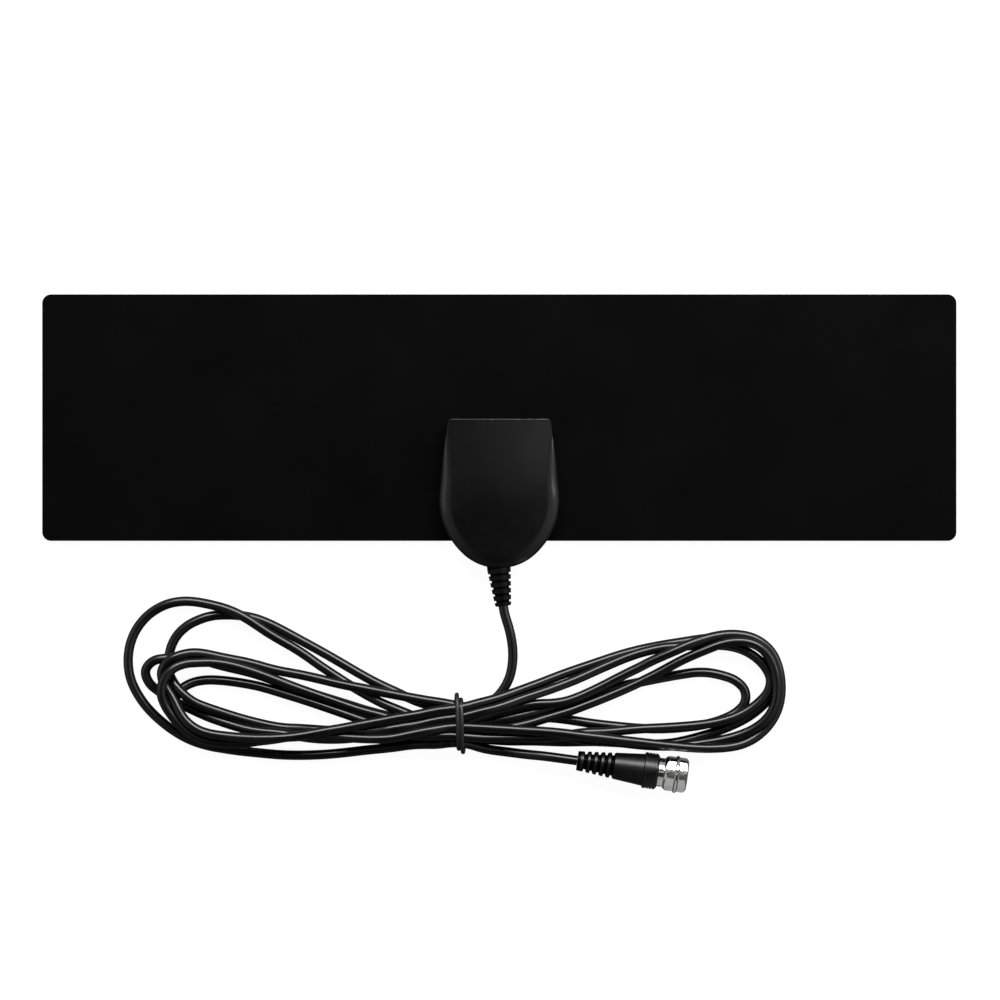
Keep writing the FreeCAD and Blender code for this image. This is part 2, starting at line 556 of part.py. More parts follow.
# saddle that holds the screen on the board, and a solder post for the conductor
def on_board(name, at, length, wide, top, hole):
    """Block standing on the board astride the cable's axis, with a way through it."""
    o = doc.addObject("Part::Box", name + "_block")
    bind(o, Length=length, Width=wide, Height=less(top, BOARD_TOP))
    a = math.radians(EXIT[3])
    rot = FreeCAD.Rotation(V(0, 0, 1), EXIT[3])
    p = V(EXIT[0][0] - at[0] * math.cos(a), EXIT[1][0] - at[0] * math.sin(a), BOARD_TOP[0])
    o.Placement = FreeCAD.Placement(p + rot.multVec(V(0, -wide[0] / 2, 0)), rot)
    way = rod(name + "_way", (-at[0], "-(%s)" % at[1]), (length[0] - at[0], "%s - (%s)" % (length[1], at[1])), hole, EXIT)
    return cut(name, o, [way])


braid_clamp = on_board("braid_clamp", c("clamp_at"), c("clamp_l"), c("clamp_w"), c("exit_z", "braid_r", "clamp_cap"), c("braid_r"))
signal_post = on_board("signal_post", c("post_at"), c("post_w"), c("post_w"), c("exit_z", "conductor_r", "post_cap"), c("conductor_r"))

# ---------------------------------------------------------------- free cable: lead, hank, tail
def tube(name, pts, r):
    """Round tube on straight runs joined by tangent arcs."""
    P = [V(*p) for p in pts]
    runs = [(P[i + 1] - P[i]).Length for i in range(len(P) - 1)]
    edges, at = [], P[0]
    radii = []
    for i in range(1, len(P) - 1):
        u = (P[i] - P[i - 1]).normalize()
        w = (P[i + 1] - P[i]).normalize()
        half_turn = u.getAngle(w) / 2
        back = 0.45 * min(runs[i - 1], runs[i])
        radius = back / math.tan(half_turn)
        radii.append(round(radius, 1))
        a, b = P[i] - u * back, P[i] + w * back
        mid_dir = (w - u).normalize()
        mid = P[i] + mid_dir * (radius / math.cos(half_turn) - radius)
        edges.append(Part.LineSegment(at, a).toShape())
        edges.append(Part.Arc(a, mid, b).toShape())
        at = b
    edges.append(Part.LineSegment(at, P[-1]).toShape())
    path = Part.Wire(edges)
    ring = Part.Wire([Part.Circle(P[0], P[1] - P[0], r).toShape()])
    solid = path.makePipeShell([ring], True, False)
    print(name, "runs", [round(x, 1) for x in runs], "radii", radii,
          "volume", round(solid.Volume, 2), "of", round(math.pi * r * r * path.Length, 2), "length", round(path.Length, 1))
    o = doc.addObject("Part::Feature", name)
    o.Shape = solid
    return o


a = math.radians(EXIT[3])
start = V(EXIT[0][0] + D["relief_len"] * math.cos(a), EXIT[1][0] + D["relief_len"] * math.sin(a), EXIT[2][0])
second = start + V(math.cos(a), math.sin(a), 0) * 2.5
LEAD = [tuple(start), tuple(second), (3.5, -71.0, 5.5), (4.7, -76.5, 5.1), (5.0, -82.4, 4.5), (4.05, -88.5, 3.9), (1.45, -93.6, 3.6), (-1.91, -97.2, 3.9)]
cable_lead = tube("cable_lead", LEAD, D["cable_r"])

b = math.radians(PLUG[3])
end = V(PLUG[0][0], PLUG[1][0], PLUG[2][0])
before = end - V(math.cos(b), math.sin(b), 0) * 6.1
TAIL = [(-11.9, -112.6, 5.0), (-5.1, -114.9, 3.4), (2.6, -115.9, 2.8), (9.6, -116.75, 4.0), (15.9, -117.2, 5.9), tuple(before), tuple(end)]
cable_tail = tube("cable_tail", TAIL, D["cable_r"])

# outer shape of the folded cable: centre X, upper Y, lower Y, half height and centre height at each station
STATIONS = [
    (-135.5, -78.6, -88.6, 1.6, 2.2), (-133.3, -73.4, -94.3, 2.6, 2.8), (-127.9, -65.8, -103.7, 3.3, 3.4),
    (-117.1, -60.7, -111.3, 3.7, 3.8), (-100.8, -61.8, -116.3, 4.0, 4.1), (-79.2, -69.4, -118.5, 4.2, 4.3),
    (-57.5, -82.0, -118.1, 4.3, 4.6), (-35.9, -93.6, -116.0, 4.3, 5.5), (-14.26, -96.5, -114.5, 4.3, 6.0),
    (7.5, -92.1, -114.2, 4.3, 5.4), (29.1, -83.8, -114.5, 4.2, 4.5), (54.4, -75.9, -115.6, 4.1, 4.2),
    (72.5, -73.4, -116.7, 3.9, 4.0), (86.9, -71.9, -115.2, 3.7, 3.8), (97.0, -77.0, -108.4, 3.2, 3.3),
    (101.7, -84.2, -101.2, 2.4, 2.6), (103.5, -90.0, -96.5, 1.4, 2.0),
]
rows = len(DIMS)
rings = []
for i, (x, up, low, ch, cz) in enumerate(STATIONS):
    cells = {"hank_x_%d" % i: x, "hank_y_%d" % i: (up + low) / 2, "hank_half_%d" % i: (up - low) / 2,
             "hank_high_%d" % i: ch, "hank_mid_%d" % i: cz}
    for name, value in cells.items():
        rows += 1
        sheet.set("A%d" % rows, name)
        sheet.set("B%d" % rows, "%.4f" % value)
        sheet.setAlias("B%d" % rows, name)
doc.recompute()
for i in range(len(STATIONS)):
    e = doc.addObject("Part::Ellipse", "hank_ring_%d" % i)
    e.Placement = FreeCAD.Placement(V(0, 0, 0), FreeCAD.Rotation(V(0, 1, 0), V(0, 0, 1), V(1, 0, 0), "ZXY"))
    e.setExpression("MajorRadius", "Dims.hank_half_%d" % i)
    e.setExpression("MinorRadius", "Dims.hank_high_%d" % i)
    for axis, word in (("x", "hank_x_%d"), ("y", "hank_y_%d"), ("z", "hank_mid_%d")):
        e.setExpression(".Placement.Base." + axis, "Dims." + word % i)
    rings.append(e)
doc.recompute()
hank = doc.addObject("Part::Loft", "cable_hank")
hank.Sections = rings
hank.Solid = True
hank.Ruled = False
doc.recompute()
cable_hank = hank
print("hank", hank.Shape.BoundBox, hank.Shape.isValid(), hank.Shape.Volume)

# wire tie: two turns side by side around the waist
tie_path = doc.addObject("Part::Ellipse", "tie_path")
tie_path.Placement = FreeCAD.Placement(V(0, 0, 0), FreeCAD.Rotation(V(0, 1, 0), V(0, 0, 1), V(1, 0, 0), "ZXY"))
tie_path.setExpression("MajorRadius", "Dims.waist_half + Dims.tie_wire_r")
tie_path.setExpression("MinorRadius", "Dims.waist_c + Dims.tie_wire_r")
tie_path.setExpression(".Placement.Base.x", "-Dims.tie_x")
tie_path.setExpression(".Placement.Base.y", "-Dims.waist_y")
tie_path.setExpression(".Placement.Base.z", "Dims.waist_z")
tr, tp = D["tie_wire_r"], D["tie_pitch"] / 2
th = math.sqrt(tr * tr - tp * tp)
tie_section = doc.addObject("Part::Feature", "tie_section")
tie_section.Shape = Part.Wire([
    Part.Arc(V(0, th, 0), V(tp + tr, 0, 0), V(0, -th, 0)).toShape(),
    Part.Arc(V(0, -th, 0), V(-tp - tr, 0, 0), V(0, th, 0)).toShape(),
])
tie_section.Placement = FreeCAD.Placement(
    V(-D["tie_x"], -D["waist_y"] + D["waist_half"] + tr, D["waist_z"]), FreeCAD.Rotation())
cable_tie = doc.addObject("Part::Sweep", "cable_tie")
cable_tie.Sections = [tie_section]
cable_tie.Spine = (tie_path, ["Edge1"])
cable_tie.Solid = True
cable_tie.Frenet = True
doc.recompute()

# ---------------------------------------------------------------- plug
plug_boot = new_body("plug_boot")
sk = body_sketch(plug_boot, "boot_profile")
polygon(sk, [
    ((0.0, "0"), c("cable_r")), (c("barrel_start"), c("cable_r")), (c("barrel_start"), c("barrel_r")),
    (c("hub_start"), c("barrel_r")), (c("hub_start"), c("hub_r")), (c("boot_len"), c("hub_r")),
    (c("boot_len"), c("collar_end_r")), (c("collar_flat"), c("collar_r")), (c("collar_start"), c("collar_r")),
    (c("boot_cone_end"), c("boot_cone_r")), (c("boot_rib_end"), c("boot_rib_r")), ((0.0, "0"), c("boot_start_r")),
])
turn(plug_boot, sk, "boot_body")
sk = body_sketch(plug_boot, "rib_profile")
rise = "(Dims.boot_rib_r - Dims.boot_start_r) / Dims.boot_rib_end"
for i in range(5):
    at = D["rib_first"] + i * D["rib_pitch"]
    at_text = "Dims.rib_first + %d * Dims.rib_pitch" % i
    r = D["boot_start_r"] + at * (D["boot_rib_r"] - D["boot_start_r"]) / D["boot_rib_end"]
    r_text = "Dims.boot_start_r + (%s) * %s" % (at_text, rise)
    near, far = less((at, at_text), half("rib_slit")), more((at, at_text), half("rib_slit"))
    open_near, open_far = less((at, at_text), half("rib_mouth")), more((at, at_text), half("rib_mouth"))
    floor, lip = less((r, r_text), c("rib_depth")), less((r, r_text), c("rib_lip"))
    out = more((r, r_text), c("rib_over"))
    polygon(sk, [(near, floor), (far, floor), (far, lip), (open_far, out), (open_near, out), (near, lip)])
turn(plug_boot, sk, "rib_grooves", cut=True)
sk = body_sketch(plug_boot, "ring_profile")
polygon(sk, [(c("ring_first"), c("ring_floor_r")), (c("ring_first", "ring_groove"), c("ring_floor_r")),
             (c("ring_first", "ring_groove"), c("collar_r", "cable_r")), (c("ring_first"), c("collar_r", "cable_r"))])
g = turn(plug_boot, sk, "ring_cut", cut=True)
repeat(plug_boot, g, "ring_grooves", c("ring_pitch"), 3)
along(plug_boot, *PLUG)

cable_plug_end = rod("cable_plug_end", (0.0, "0"), c("barrel_step"), c("cable_r"), PLUG)

plug_body = new_body("plug_body")
sk = body_sketch(plug_body, "ferrule_profile")
polygon(sk, [
    (c("barrel_start"), c("cable_r")), (c("barrel_step"), c("cable_r")), (c("barrel_step"), c("insulator_r")),
    (c("flange_end"), c("insulator_r")), (c("flange_end"), c("flange_r")), (c("flange_start"), c("flange_r")),
    (c("flange_start"), c("neck_r")), (c("shoulder_end"), c("neck_r")), (c("shoulder_end"), c("shoulder_r")),
    (c("boot_len"), c("shoulder_r")), (c("boot_len"), c("hub_r")), (c("hub_start"), c("hub_r")),
    (c("hub_start"), c("barrel_r")), (c("barrel_start"), c("barrel_r")),
])
turn(plug_body, sk, "ferrule")
along(plug_body, *PLUG)

insul = rod("insulator_bar", c("barrel_step"), c("flange_end"), c("insulator_r"), PLUG)
plug_insulator = cut("plug_insulator", insul, [rod("insulator_way", c("barrel_step"), c("flange_end"), c("pin_root_r"), PLUG)])
centre_pin = new_body("centre_pin")
sk = body_sketch(centre_pin, "pin_profile")
polygon(sk, [(c("barrel_step"), (0.0, "0")), (c("pin_end"), (0.0, "0")), (c("pin_end"), c("pin_r", "-pin_tip")),
             (c("pin_end", "-pin_tip"), c("pin_r")), (c("flange_end"), c("pin_r")), (c("flange_end"), c("pin_root_r")),
             (c("barrel_step"), c("pin_root_r"))])
turn(centre_pin, sk, "pin_turned")
along(centre_pin, *PLUG)

coupling_nut = new_body("coupling_nut")
import Sketcher
sk = body_sketch(coupling_nut, "nut_hexagon", "YZ_Plane", offset=c("nut_start"))
rad = D["nut_across"] / math.sqrt(3)
corners = [V(rad * math.cos(math.radians(D["nut_turn"] + 60 * i)), rad * math.sin(math.radians(D["nut_turn"] + 60 * i)), 0) for i in range(6)]
for i in range(6):
    sk.addGeometry(Part.LineSegment(corners[i], corners[(i + 1) % 6]), True)
ring_i = sk.addGeometry(Part.Circle(V(0, 0, 0), V(0, 0, 1), rad), True)
spoke = sk.addGeometry(Part.LineSegment(V(0, 0, 0), corners[0]), True)
for i in range(6):
    sk.addConstraint(Sketcher.Constraint("Coincident", i, 2, (i + 1) % 6, 1))
sk.addConstraint(Sketcher.Constraint("Coincident", ring_i, 3, -1, 1))
for i in range(6):
    sk.addConstraint(Sketcher.Constraint("PointOnObject", i, 1, ring_i))
for i in range(1, 6):
    sk.addConstraint(Sketcher.Constraint("Equal", 0, i))
sk.addConstraint(Sketcher.Constraint("Coincident", spoke, 1, -1, 1))
sk.addConstraint(Sketcher.Constraint("Coincident", spoke, 2, 0, 1))
k = sk.addConstraint(Sketcher.Constraint("Radius", ring_i, rad))
sk.renameConstraint(k, "corner_r")
sk.setExpression("Constraints.corner_r", "Dims.nut_across / sqrt(3)")
k = sk.addConstraint(Sketcher.Constraint("Angle", spoke, math.radians(D["nut_turn"])))
sk.renameConstraint(k, "turned")
# each flat is slightly crowned
bulge = D["nut_bulge_r"]
flats = []
for i in range(6):
    one, two = corners[i], corners[(i + 1) % 6]
    mid = (one + two) * 0.5
    hub = mid * (1 - math.sqrt(bulge ** 2 - (rad / 2) ** 2) / mid.Length)
    first, last = math.atan2((one - hub).y, (one - hub).x), math.atan2((two - hub).y, (two - hub).x)
    flats.append(sk.addGeometry(Part.ArcOfCircle(Part.Circle(hub, V(0, 0, 1), bulge), first, last), False))
for i, f in enumerate(flats):
    sk.addConstraint(Sketcher.Constraint("Coincident", f, 1, i, 1))
    sk.addConstraint(Sketcher.Constraint("Coincident", f, 2, i, 2))
    if i:
        sk.addConstraint(Sketcher.Constraint("Equal", flats[0], f))
k = sk.addConstraint(Sketcher.Constraint("Radius", flats[0], bulge))
sk.renameConstraint(k, "bulge")
sk.setExpression("Constraints.bulge", "Dims.nut_bulge_r")
doc.recompute()
print("nut_hexagon solver", sk.solve(), "free", not sk.FullyConstrained)
pad(coupling_nut, sk, "nut_bar", c("nut_end", "-nut_start"))
sk = body_sketch(coupling_nut, "bead_profile")
polygon(sk, [(c("bead_start"), c("bore_r")), (c("bead_start", "bead_len"), c("bore_r")),
             (c("bead_start", "bead_len"), c("bead_r", "-bead_round")), (c("bead_start", "bead_len", "-bead_round"), c("bead_r")),
             (c("bead_start", "bead_round"), c("bead_r")), (c("bead_start"), c("bead_r", "-bead_round"))])
turn(coupling_nut, sk, "nut_bead")
sk = body_sketch(coupling_nut, "nut_back_profile")
polygon(sk, [(c("nut_start"), c("nut_back_r")), (c("nut_start", "nut_back_len"), c("nut_full_r")),
             (c("nut_start"), c("nut_full_r"))])
turn(coupling_nut, sk, "nut_back_chamfer", cut=True)
sk = body_sketch(coupling_nut, "nut_front_profile")
polygon(sk, [(c("nut_end"), c("nut_front_r")), (c("nut_end"), c("nut_full_r")), (c("nut_end", "-nut_front_len"), c("nut_full_r"))])
turn(coupling_nut, sk, "nut_front_chamfer", cut=True)
sk = body_sketch(coupling_nut, "nut_bore_profile")
polygon(sk, [(c("nut_start"), (0.0, "0")), (c("nut_end"), (0.0, "0")), (c("nut_end"), c("mouth_r")),
             (c("nut_end", "-mouth_depth"), c("bore_r")), (c("lip_end"), c("bore_r")), (c("lip_end"), c("lip_r")),
             (c("nut_start"), c("lip_r"))])
turn(coupling_nut, sk, "nut_bore", cut=True)
along(coupling_nut, *PLUG)

doc.recompute()

# ---------------------------------------------------------------- hand-over
SUBPARTS = [
    front_film, rear_film, elements[0], elements[1], front_cover, rear_cover, cover_screws, circuit_board,
    feed_pins, balun_core, balun_winding, chip_components, braid_clamp, signal_post, cable_braid, cable_dielectric, inner_conductor,
    strain_relief, cable_entry, cable_lead, cable_hank, cable_tail, cable_tie, plug_boot, cable_plug_end,
    plug_body, plug_insulator, centre_pin, coupling_nut,
]
for o in doc.Objects:
    bad = [s for s in o.State if s in ("Invalid", "Error")]
    if bad:
        raise RuntimeError("%s is %s" % (o.Name, bad))
os.makedirs("parts", exist_ok=True)
for o in SUBPARTS:
    s = o.Shape
    if s.isNull() or not s.isValid():
        raise RuntimeError("%s has no valid shape" % o.Label)
    bb = FreeCAD.BoundBox()
    for p in s.tessellate(0.1)[0]:
        bb.add(p)
    print("%-18s solids %d vol %10.2f  X %.2f..%.2f Y %.2f..%.2f Z %.2f..%.2f" % (
        o.Label, len(s.Solids), s.Volume, bb.XMin, bb.XMax, bb.YMin, bb.YMax, bb.ZMin, bb.ZMax))
    s.exportStep("parts/%s.step" % o.Label)
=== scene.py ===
import json
import math

import bpy
from mathutils import Matrix, Vector


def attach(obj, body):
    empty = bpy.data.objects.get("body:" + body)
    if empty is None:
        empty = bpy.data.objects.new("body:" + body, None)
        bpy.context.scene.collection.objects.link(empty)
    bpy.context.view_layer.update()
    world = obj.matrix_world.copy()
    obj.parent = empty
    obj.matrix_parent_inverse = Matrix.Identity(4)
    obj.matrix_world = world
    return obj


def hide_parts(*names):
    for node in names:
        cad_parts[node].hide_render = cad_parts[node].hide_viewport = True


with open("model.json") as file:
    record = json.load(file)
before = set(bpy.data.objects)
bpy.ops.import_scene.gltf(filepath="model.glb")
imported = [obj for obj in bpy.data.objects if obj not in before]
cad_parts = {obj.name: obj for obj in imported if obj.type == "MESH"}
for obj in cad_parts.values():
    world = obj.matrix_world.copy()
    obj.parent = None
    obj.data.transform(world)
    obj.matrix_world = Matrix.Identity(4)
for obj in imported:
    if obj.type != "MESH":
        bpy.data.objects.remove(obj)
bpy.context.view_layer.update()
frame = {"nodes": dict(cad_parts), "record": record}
NODES = frame["nodes"]
scene = bpy.context.scene
MM = 0.001

# ------------------------------------------------------------------ camera
# Straight down on the flat antenna, with a long lens.
cam_data = bpy.data.cameras.new("camera")
cam_data.lens = 149.57
cam_data.sensor_width = 36.0
cam_data.clip_start, cam_data.clip_end = 0.05, 20.0
camera = bpy.data.objects.new("camera", cam_data)
camera.location = (0.25 * MM, -24.98 * MM, 1.5027)
scene.collection.objects.link(camera)
scene.camera = camera

scene.view_settings.view_transform = "Standard"
scene.view_settings.look = "None"

# ------------------------------------------------------------------ node helpers


def new_material(name, base, rough, metallic=0.0, specular=0.5, coat=0.0, coat_rough=0.1, sheen=0.0):
    m = bpy.data.materials.new(name)
    m.use_nodes = True
    tree = m.node_tree
    bsdf = tree.nodes["Principled BSDF"]
    bsdf.inputs["Base Color"].default_value = (*base, 1.0)
    bsdf.inputs["Roughness"].default_value = rough
    bsdf.inputs["Metallic"].default_value = metallic
    bsdf.inputs["Specular IOR Level"].default_value = specular
    bsdf.inputs["Coat Weight"].default_value = coat
    bsdf.inputs["Coat Roughness"].default_value = coat_rough
    bsdf.inputs["Sheen Weight"].default_value = sheen
    m.diffuse_color = (*base, 1.0)
    return m, tree, bsdf


def coords(tree, turn=(0, 0, 0), stretch=(1, 1, 1), shift=(0, 0, 0)):
    """Object coordinates, in metres, turned and stretched. A CAD node's object is the part's own frame."""
    tc = tree.nodes.new("ShaderNodeTexCoord")
    mp = tree.nodes.new("ShaderNodeMapping")
    mp.vector_type = "TEXTURE"
    mp.inputs["Location"].default_value = shift
    mp.inputs["Rotation"].default_value = turn
    mp.inputs["Scale"].default_value = stretch
    tree.links.new(tc.outputs["Object"], mp.inputs["Vector"])
    return mp.outputs["Vector"]


def noise(tree, vec, scale, detail=3.0, rough=0.55, distort=0.0):
    n = tree.nodes.new("ShaderNodeTexNoise")
    n.inputs["Scale"].default_value = scale
    n.inputs["Detail"].default_value = detail
    n.inputs["Roughness"].default_value = rough
    n.inputs["Distortion"].default_value = distort
    tree.links.new(vec, n.inputs["Vector"])
    return n.outputs["Fac"]


def remap(tree, fac, a, b, c, d):
    r = tree.nodes.new("ShaderNodeMapRange")
    r.inputs["From Min"].default_value = a
    r.inputs["From Max"].default_value = b
    r.inputs["To Min"].default_value = c
    r.inputs["To Max"].default_value = d
    tree.links.new(fac, r.inputs["Value"])
    return r.outputs["Result"]


def ramp(tree, fac, stops):
    r = tree.nodes.new("ShaderNodeValToRGB")
    e = r.color_ramp.elements
    while len(e) < len(stops):
        e.new(0.5)
    for el, (p, col) in zip(e, stops):
        el.position = p
        el.color = (*col, 1.0)
    tree.links.new(fac, r.inputs["Fac"])
    return r.outputs["Color"]


def math_node(tree, op, a, b=None):
    n = tree.nodes.new("ShaderNodeMath")
    n.operation = op
    for i, v in enumerate((a, b)):
        if v is None:
            continue
        if isinstance(v, (int, float)):
            n.inputs[i].default_value = v
        else:
            tree.links.new(v, n.inputs[i])
    return n.outputs[0]


def bump(tree, bsdf, height, strength, distance, before=None):
    b = tree.nodes.new("ShaderNodeBump")
    b.inputs["Strength"].default_value = strength
    b.inputs["Distance"].default_value = distance
    tree.links.new(height, b.inputs["Height"])
    if before is not None:
        tree.links.new(before, b.inputs["Normal"])
    tree.links.new(b.outputs["Normal"], bsdf.inputs["Normal"])
    return b.outputs["Normal"]


# ------------------------------------------------------------------ materials


def film_material():
    m, t, s = new_material("film_matte_black", (0.0006, 0.0006, 0.00063), 0.5, specular=0.04)
    v = coords(t)
    cloud = noise(t, v, 26.0, 4.0)
    grain = noise(t, v, 5200.0, 2.0)
    t.links.new(ramp(t, cloud, [(0.3, (0.0004, 0.0004, 0.00042)), (0.7, (0.0008, 0.0008, 0.00084))]), s.inputs["Base Color"])
    t.links.new(remap(t, cloud, 0.3, 0.7, 0.44, 0.54), s.inputs["Roughness"])
    bump(t, s, grain, 0.25, 0.00003)
    return m


def housing_material():
    m, t, s = new_material("housing_gloss_black", (0.0026, 0.0026, 0.0027), 0.16, specular=0.5)
    v = coords(t)
    cloud = noise(t, v, 60.0, 4.0)
    peel = noise(t, v, 420.0, 2.0)
    t.links.new(ramp(t, cloud, [(0.3, (0.002, 0.002, 0.0021)), (0.7, (0.003, 0.003, 0.0031))]), s.inputs["Base Color"])
    t.links.new(remap(t, cloud, 0.3, 0.7, 0.13, 0.2), s.inputs["Roughness"])
    bump(t, s, peel, 0.06, 0.00006)
    return m


def jacket_material():
    m, t, s = new_material("cable_jacket", (0.002, 0.002, 0.0021), 0.2, specular=0.5)
    v = coords(t)
    cloud = noise(t, v, 90.0, 3.0)
    grain = noise(t, v, 1800.0, 3.0)
    t.links.new(ramp(t, cloud, [(0.3, (0.0014, 0.0014, 0.0015)), (0.7, (0.0026, 0.0026, 0.0027))]), s.inputs["Base Color"])
    t.links.new(remap(t, cloud, 0.3, 0.7, 0.16, 0.25), s.inputs["Roughness"])
    bump(t, s, grain, 0.1, 0.00004)
    return m


def moulding_material(name, base, rough, specular=0.45, slits=None):
    """Satin rubber. slits: (origin, turn, first, pitch, width, end) gives painted shade on the floors of the slits
    along an axis: darker base colour and almost no specular reflection there.
    """
    m, t, s = new_material(name, base, rough, specular=specular)
    v = coords(t)
    cloud = noise(t, v, 140.0, 3.0)
    grain = noise(t, v, 2600.0, 3.0)
    lo, hi = tuple(0.75 * c for c in base), tuple(1.3 * c for c in base)
    colour = ramp(t, cloud, [(0.3, lo), (0.7, hi)])
    if slits:
        origin, turn, first, pitch, width, end = slits
        axis = t.nodes.new("ShaderNodeSeparateXYZ")
        t.links.new(coords(t, turn=(0, 0, turn), shift=tuple(c * MM for c in origin)), axis.inputs[0])
        along = axis.outputs["X"]
        # painted shade mask: 1 on the slit floors along the axis, up to end, 0 elsewhere
        step = math_node(t, "FRACT", math_node(t, "DIVIDE", math_node(t, "SUBTRACT", along, first * MM), pitch * MM))
        slit_shade_mask = math_node(t, "MULTIPLY", math_node(t, "LESS_THAN", step, width / pitch), math_node(t, "LESS_THAN", along, end * MM))
        outside_slit_shade = math_node(t, "SUBTRACT", 1.0, slit_shade_mask)
        # painted shade: base colour scaled down to 0.2 on the slit floors
        mix = t.nodes.new("ShaderNodeVectorMath")
        mix.operation = "SCALE"
        t.links.new(colour, mix.inputs[0])
        t.links.new(remap(t, outside_slit_shade, 0.0, 1.0, 0.2, 1.0), mix.inputs["Scale"])
        colour = mix.outputs[0]
        # painted shade: specular reflection cut to 0.03 on the slit floors
        t.links.new(remap(t, outside_slit_shade, 0.0, 1.0, 0.03, specular), s.inputs["Specular IOR Level"])
    t.links.new(colour, s.inputs["Base Color"])
    t.links.new(remap(t, cloud, 0.3, 0.7, rough - 0.05, rough + 0.06), s.inputs["Roughness"])
    bump(t, s, grain, 0.22, 0.00005)
    return m


def metal_material(name, base, rough, turn=(0, 0, 0), stretch=(1, 1, 1), tint=0.12):
    m, t, s = new_material(name, base, rough, metallic=1.0)
    v = coords(t, turn, stretch)
    lines = noise(t, v, 2400.0, 3.0)
    cloud = noise(t, coords(t), 300.0, 3.0)
    lo, hi = tuple((1 - tint) * c for c in base), tuple(min(1.0, (1 + 0.5 * tint) * c) for c in base)
    t.links.new(ramp(t, cloud, [(0.3, lo), (0.7, hi)]), s.inputs["Base Color"])
    t.links.new(remap(t, lines, 0.3, 0.7, max(0.04, rough - 0.06), rough + 0.06), s.inputs["Roughness"])
    bump(t, s, lines, 0.1, 0.00002)
    return m


def board_material():
    m, t, s = new_material("board_solder_mask", (0.03, 0.16, 0.07), 0.4, specular=0.5)
    v = coords(t)
    br = t.nodes.new("ShaderNodeTexBrick")
    br.inputs["Scale"].default_value = 330.0
    br.inputs["Mortar Size"].default_value = 0.05
    br.inputs["Color1"].default_value = (0.03, 0.16, 0.07, 1)
    br.inputs["Color2"].default_value = (0.035, 0.2, 0.085, 1)
    br.inputs["Mortar"].default_value = (0.02, 0.11, 0.05, 1)
    t.links.new(v, br.inputs["Vector"])
    t.links.new(br.outputs["Color"], s.inputs["Base Color"])
    grain = noise(t, v, 1500.0, 2.0)
    t.links.new(remap(t, grain, 0.3, 0.7, 0.33, 0.48), s.inputs["Roughness"])
    bump(t, s, br.outputs["Fac"], 0.3, 0.00004)
    return m


def plain_grain(name, base, rough, scale=900.0, spread=0.2, metallic=0.0):
    m, t, s = new_material(name, base, rough, metallic=metallic)
    v = coords(t)
    n = noise(t, v, scale, 3.0)
    lo, hi = tuple((1 - spread) * c for c in base), tuple(min(1.0, (1 + spread) * c) for c in base)
    t.links.new(ramp(t, n, [(0.3, lo), (0.7, hi)]), s.inputs["Base Color"])
    t.links.new(remap(t, n, 0.3, 0.7, rough - 0.06, rough + 0.06), s.inputs["Roughness"])
    bump(t, s, n, 0.15, 0.00004)
    return m


def braid_material():
    m, t, s = new_material("braid_tinned", (0.72, 0.72, 0.73), 0.35, metallic=1.0)
    v = coords(t, turn=(0, 0, math.radians(6.7)))
    waves = []
    for turn in (0.7, -0.7):
        w = t.nodes.new("ShaderNodeTexWave")
        w.wave_type = "BANDS"
        w.bands_direction = "X"
        w.inputs["Scale"].default_value = 900.0
        mp = t.nodes.new("ShaderNodeMapping")
        mp.inputs["Rotation"].default_value = (0, 0, turn)
        t.links.new(v, mp.inputs["Vector"])
        t.links.new(mp.outputs["Vector"], w.inputs["Vector"])
        waves.append(w.outputs["Fac"])
    h = math_node(t, "MAXIMUM", waves[0], waves[1])
    # painted shade: base colour darker in the low gaps of the weave, following the bump pattern
    t.links.new(ramp(t, h, [(0.2, (0.35, 0.34, 0.34)), (0.8, (0.78, 0.78, 0.79))]), s.inputs["Base Color"])
    bump(t, s, h, 0.6, 0.00012)
    return m


EXIT_TURN = math.radians(6.7 - 90.0)
PLUG_TURN = math.radians(-7.9)
PLUG_BASE = (28.1, -118.83, 6.75)
MATS = {
    "film": film_material(),
    "foil": metal_material("foil_aluminium", (0.8, 0.8, 0.81), 0.3),
    "housing": housing_material(),
    "screw": metal_material("screw_plated_steel", (0.6, 0.6, 0.61), 0.28),
    "board": board_material(),
    "contact": metal_material("contact_tinned_brass", (0.78, 0.68, 0.45), 0.28),
    "ferrite": plain_grain("ferrite_grey", (0.09, 0.09, 0.1), 0.55),
    "enamel_wire": metal_material("enamelled_copper", (0.7, 0.34, 0.18), 0.25),
    "chip": plain_grain("chip_ceramic", (0.42, 0.34, 0.25), 0.5, 3000.0),
    "braid": braid_material(),
    "dielectric": plain_grain("dielectric_white", (0.86, 0.86, 0.84), 0.42, 1200.0, 0.05),
    "copper": metal_material("bare_copper", (0.78, 0.42, 0.24), 0.24),
    # slits= paints shade on the relief's slit floors
    "relief": moulding_material("relief_satin_black", (0.0013, 0.0013, 0.0014), 0.38, specular=0.16, slits=((-0.2, -49.25, 5.6), EXIT_TURN, 2.05, 2.45, 0.9, 13.2)),
    "cable": jacket_material(),
    "tie": moulding_material("tie_coated_wire", (0.005, 0.005, 0.0052), 0.4),
    # slits= paints shade on the boot's slit floors
    "boot": moulding_material("boot_satin_black", (0.0012, 0.0012, 0.0013), 0.32, specular=0.42, slits=(PLUG_BASE, PLUG_TURN, 2.2, 2.43, 1.3, 13.6)),
    "nickel": metal_material("nickel_plate", (0.74, 0.735, 0.72), 0.125, turn=(0, 0, PLUG_TURN), stretch=(6.0, 1.0, 1.0)),
}
for row in frame["record"]["subparts"]:
    node = NODES[row["node"]]
    mat = MATS[row["material_slot"]]
    if not node.material_slots:
        node.data.materials.append(mat)
    for slot in node.material_slots:
        slot.material = mat

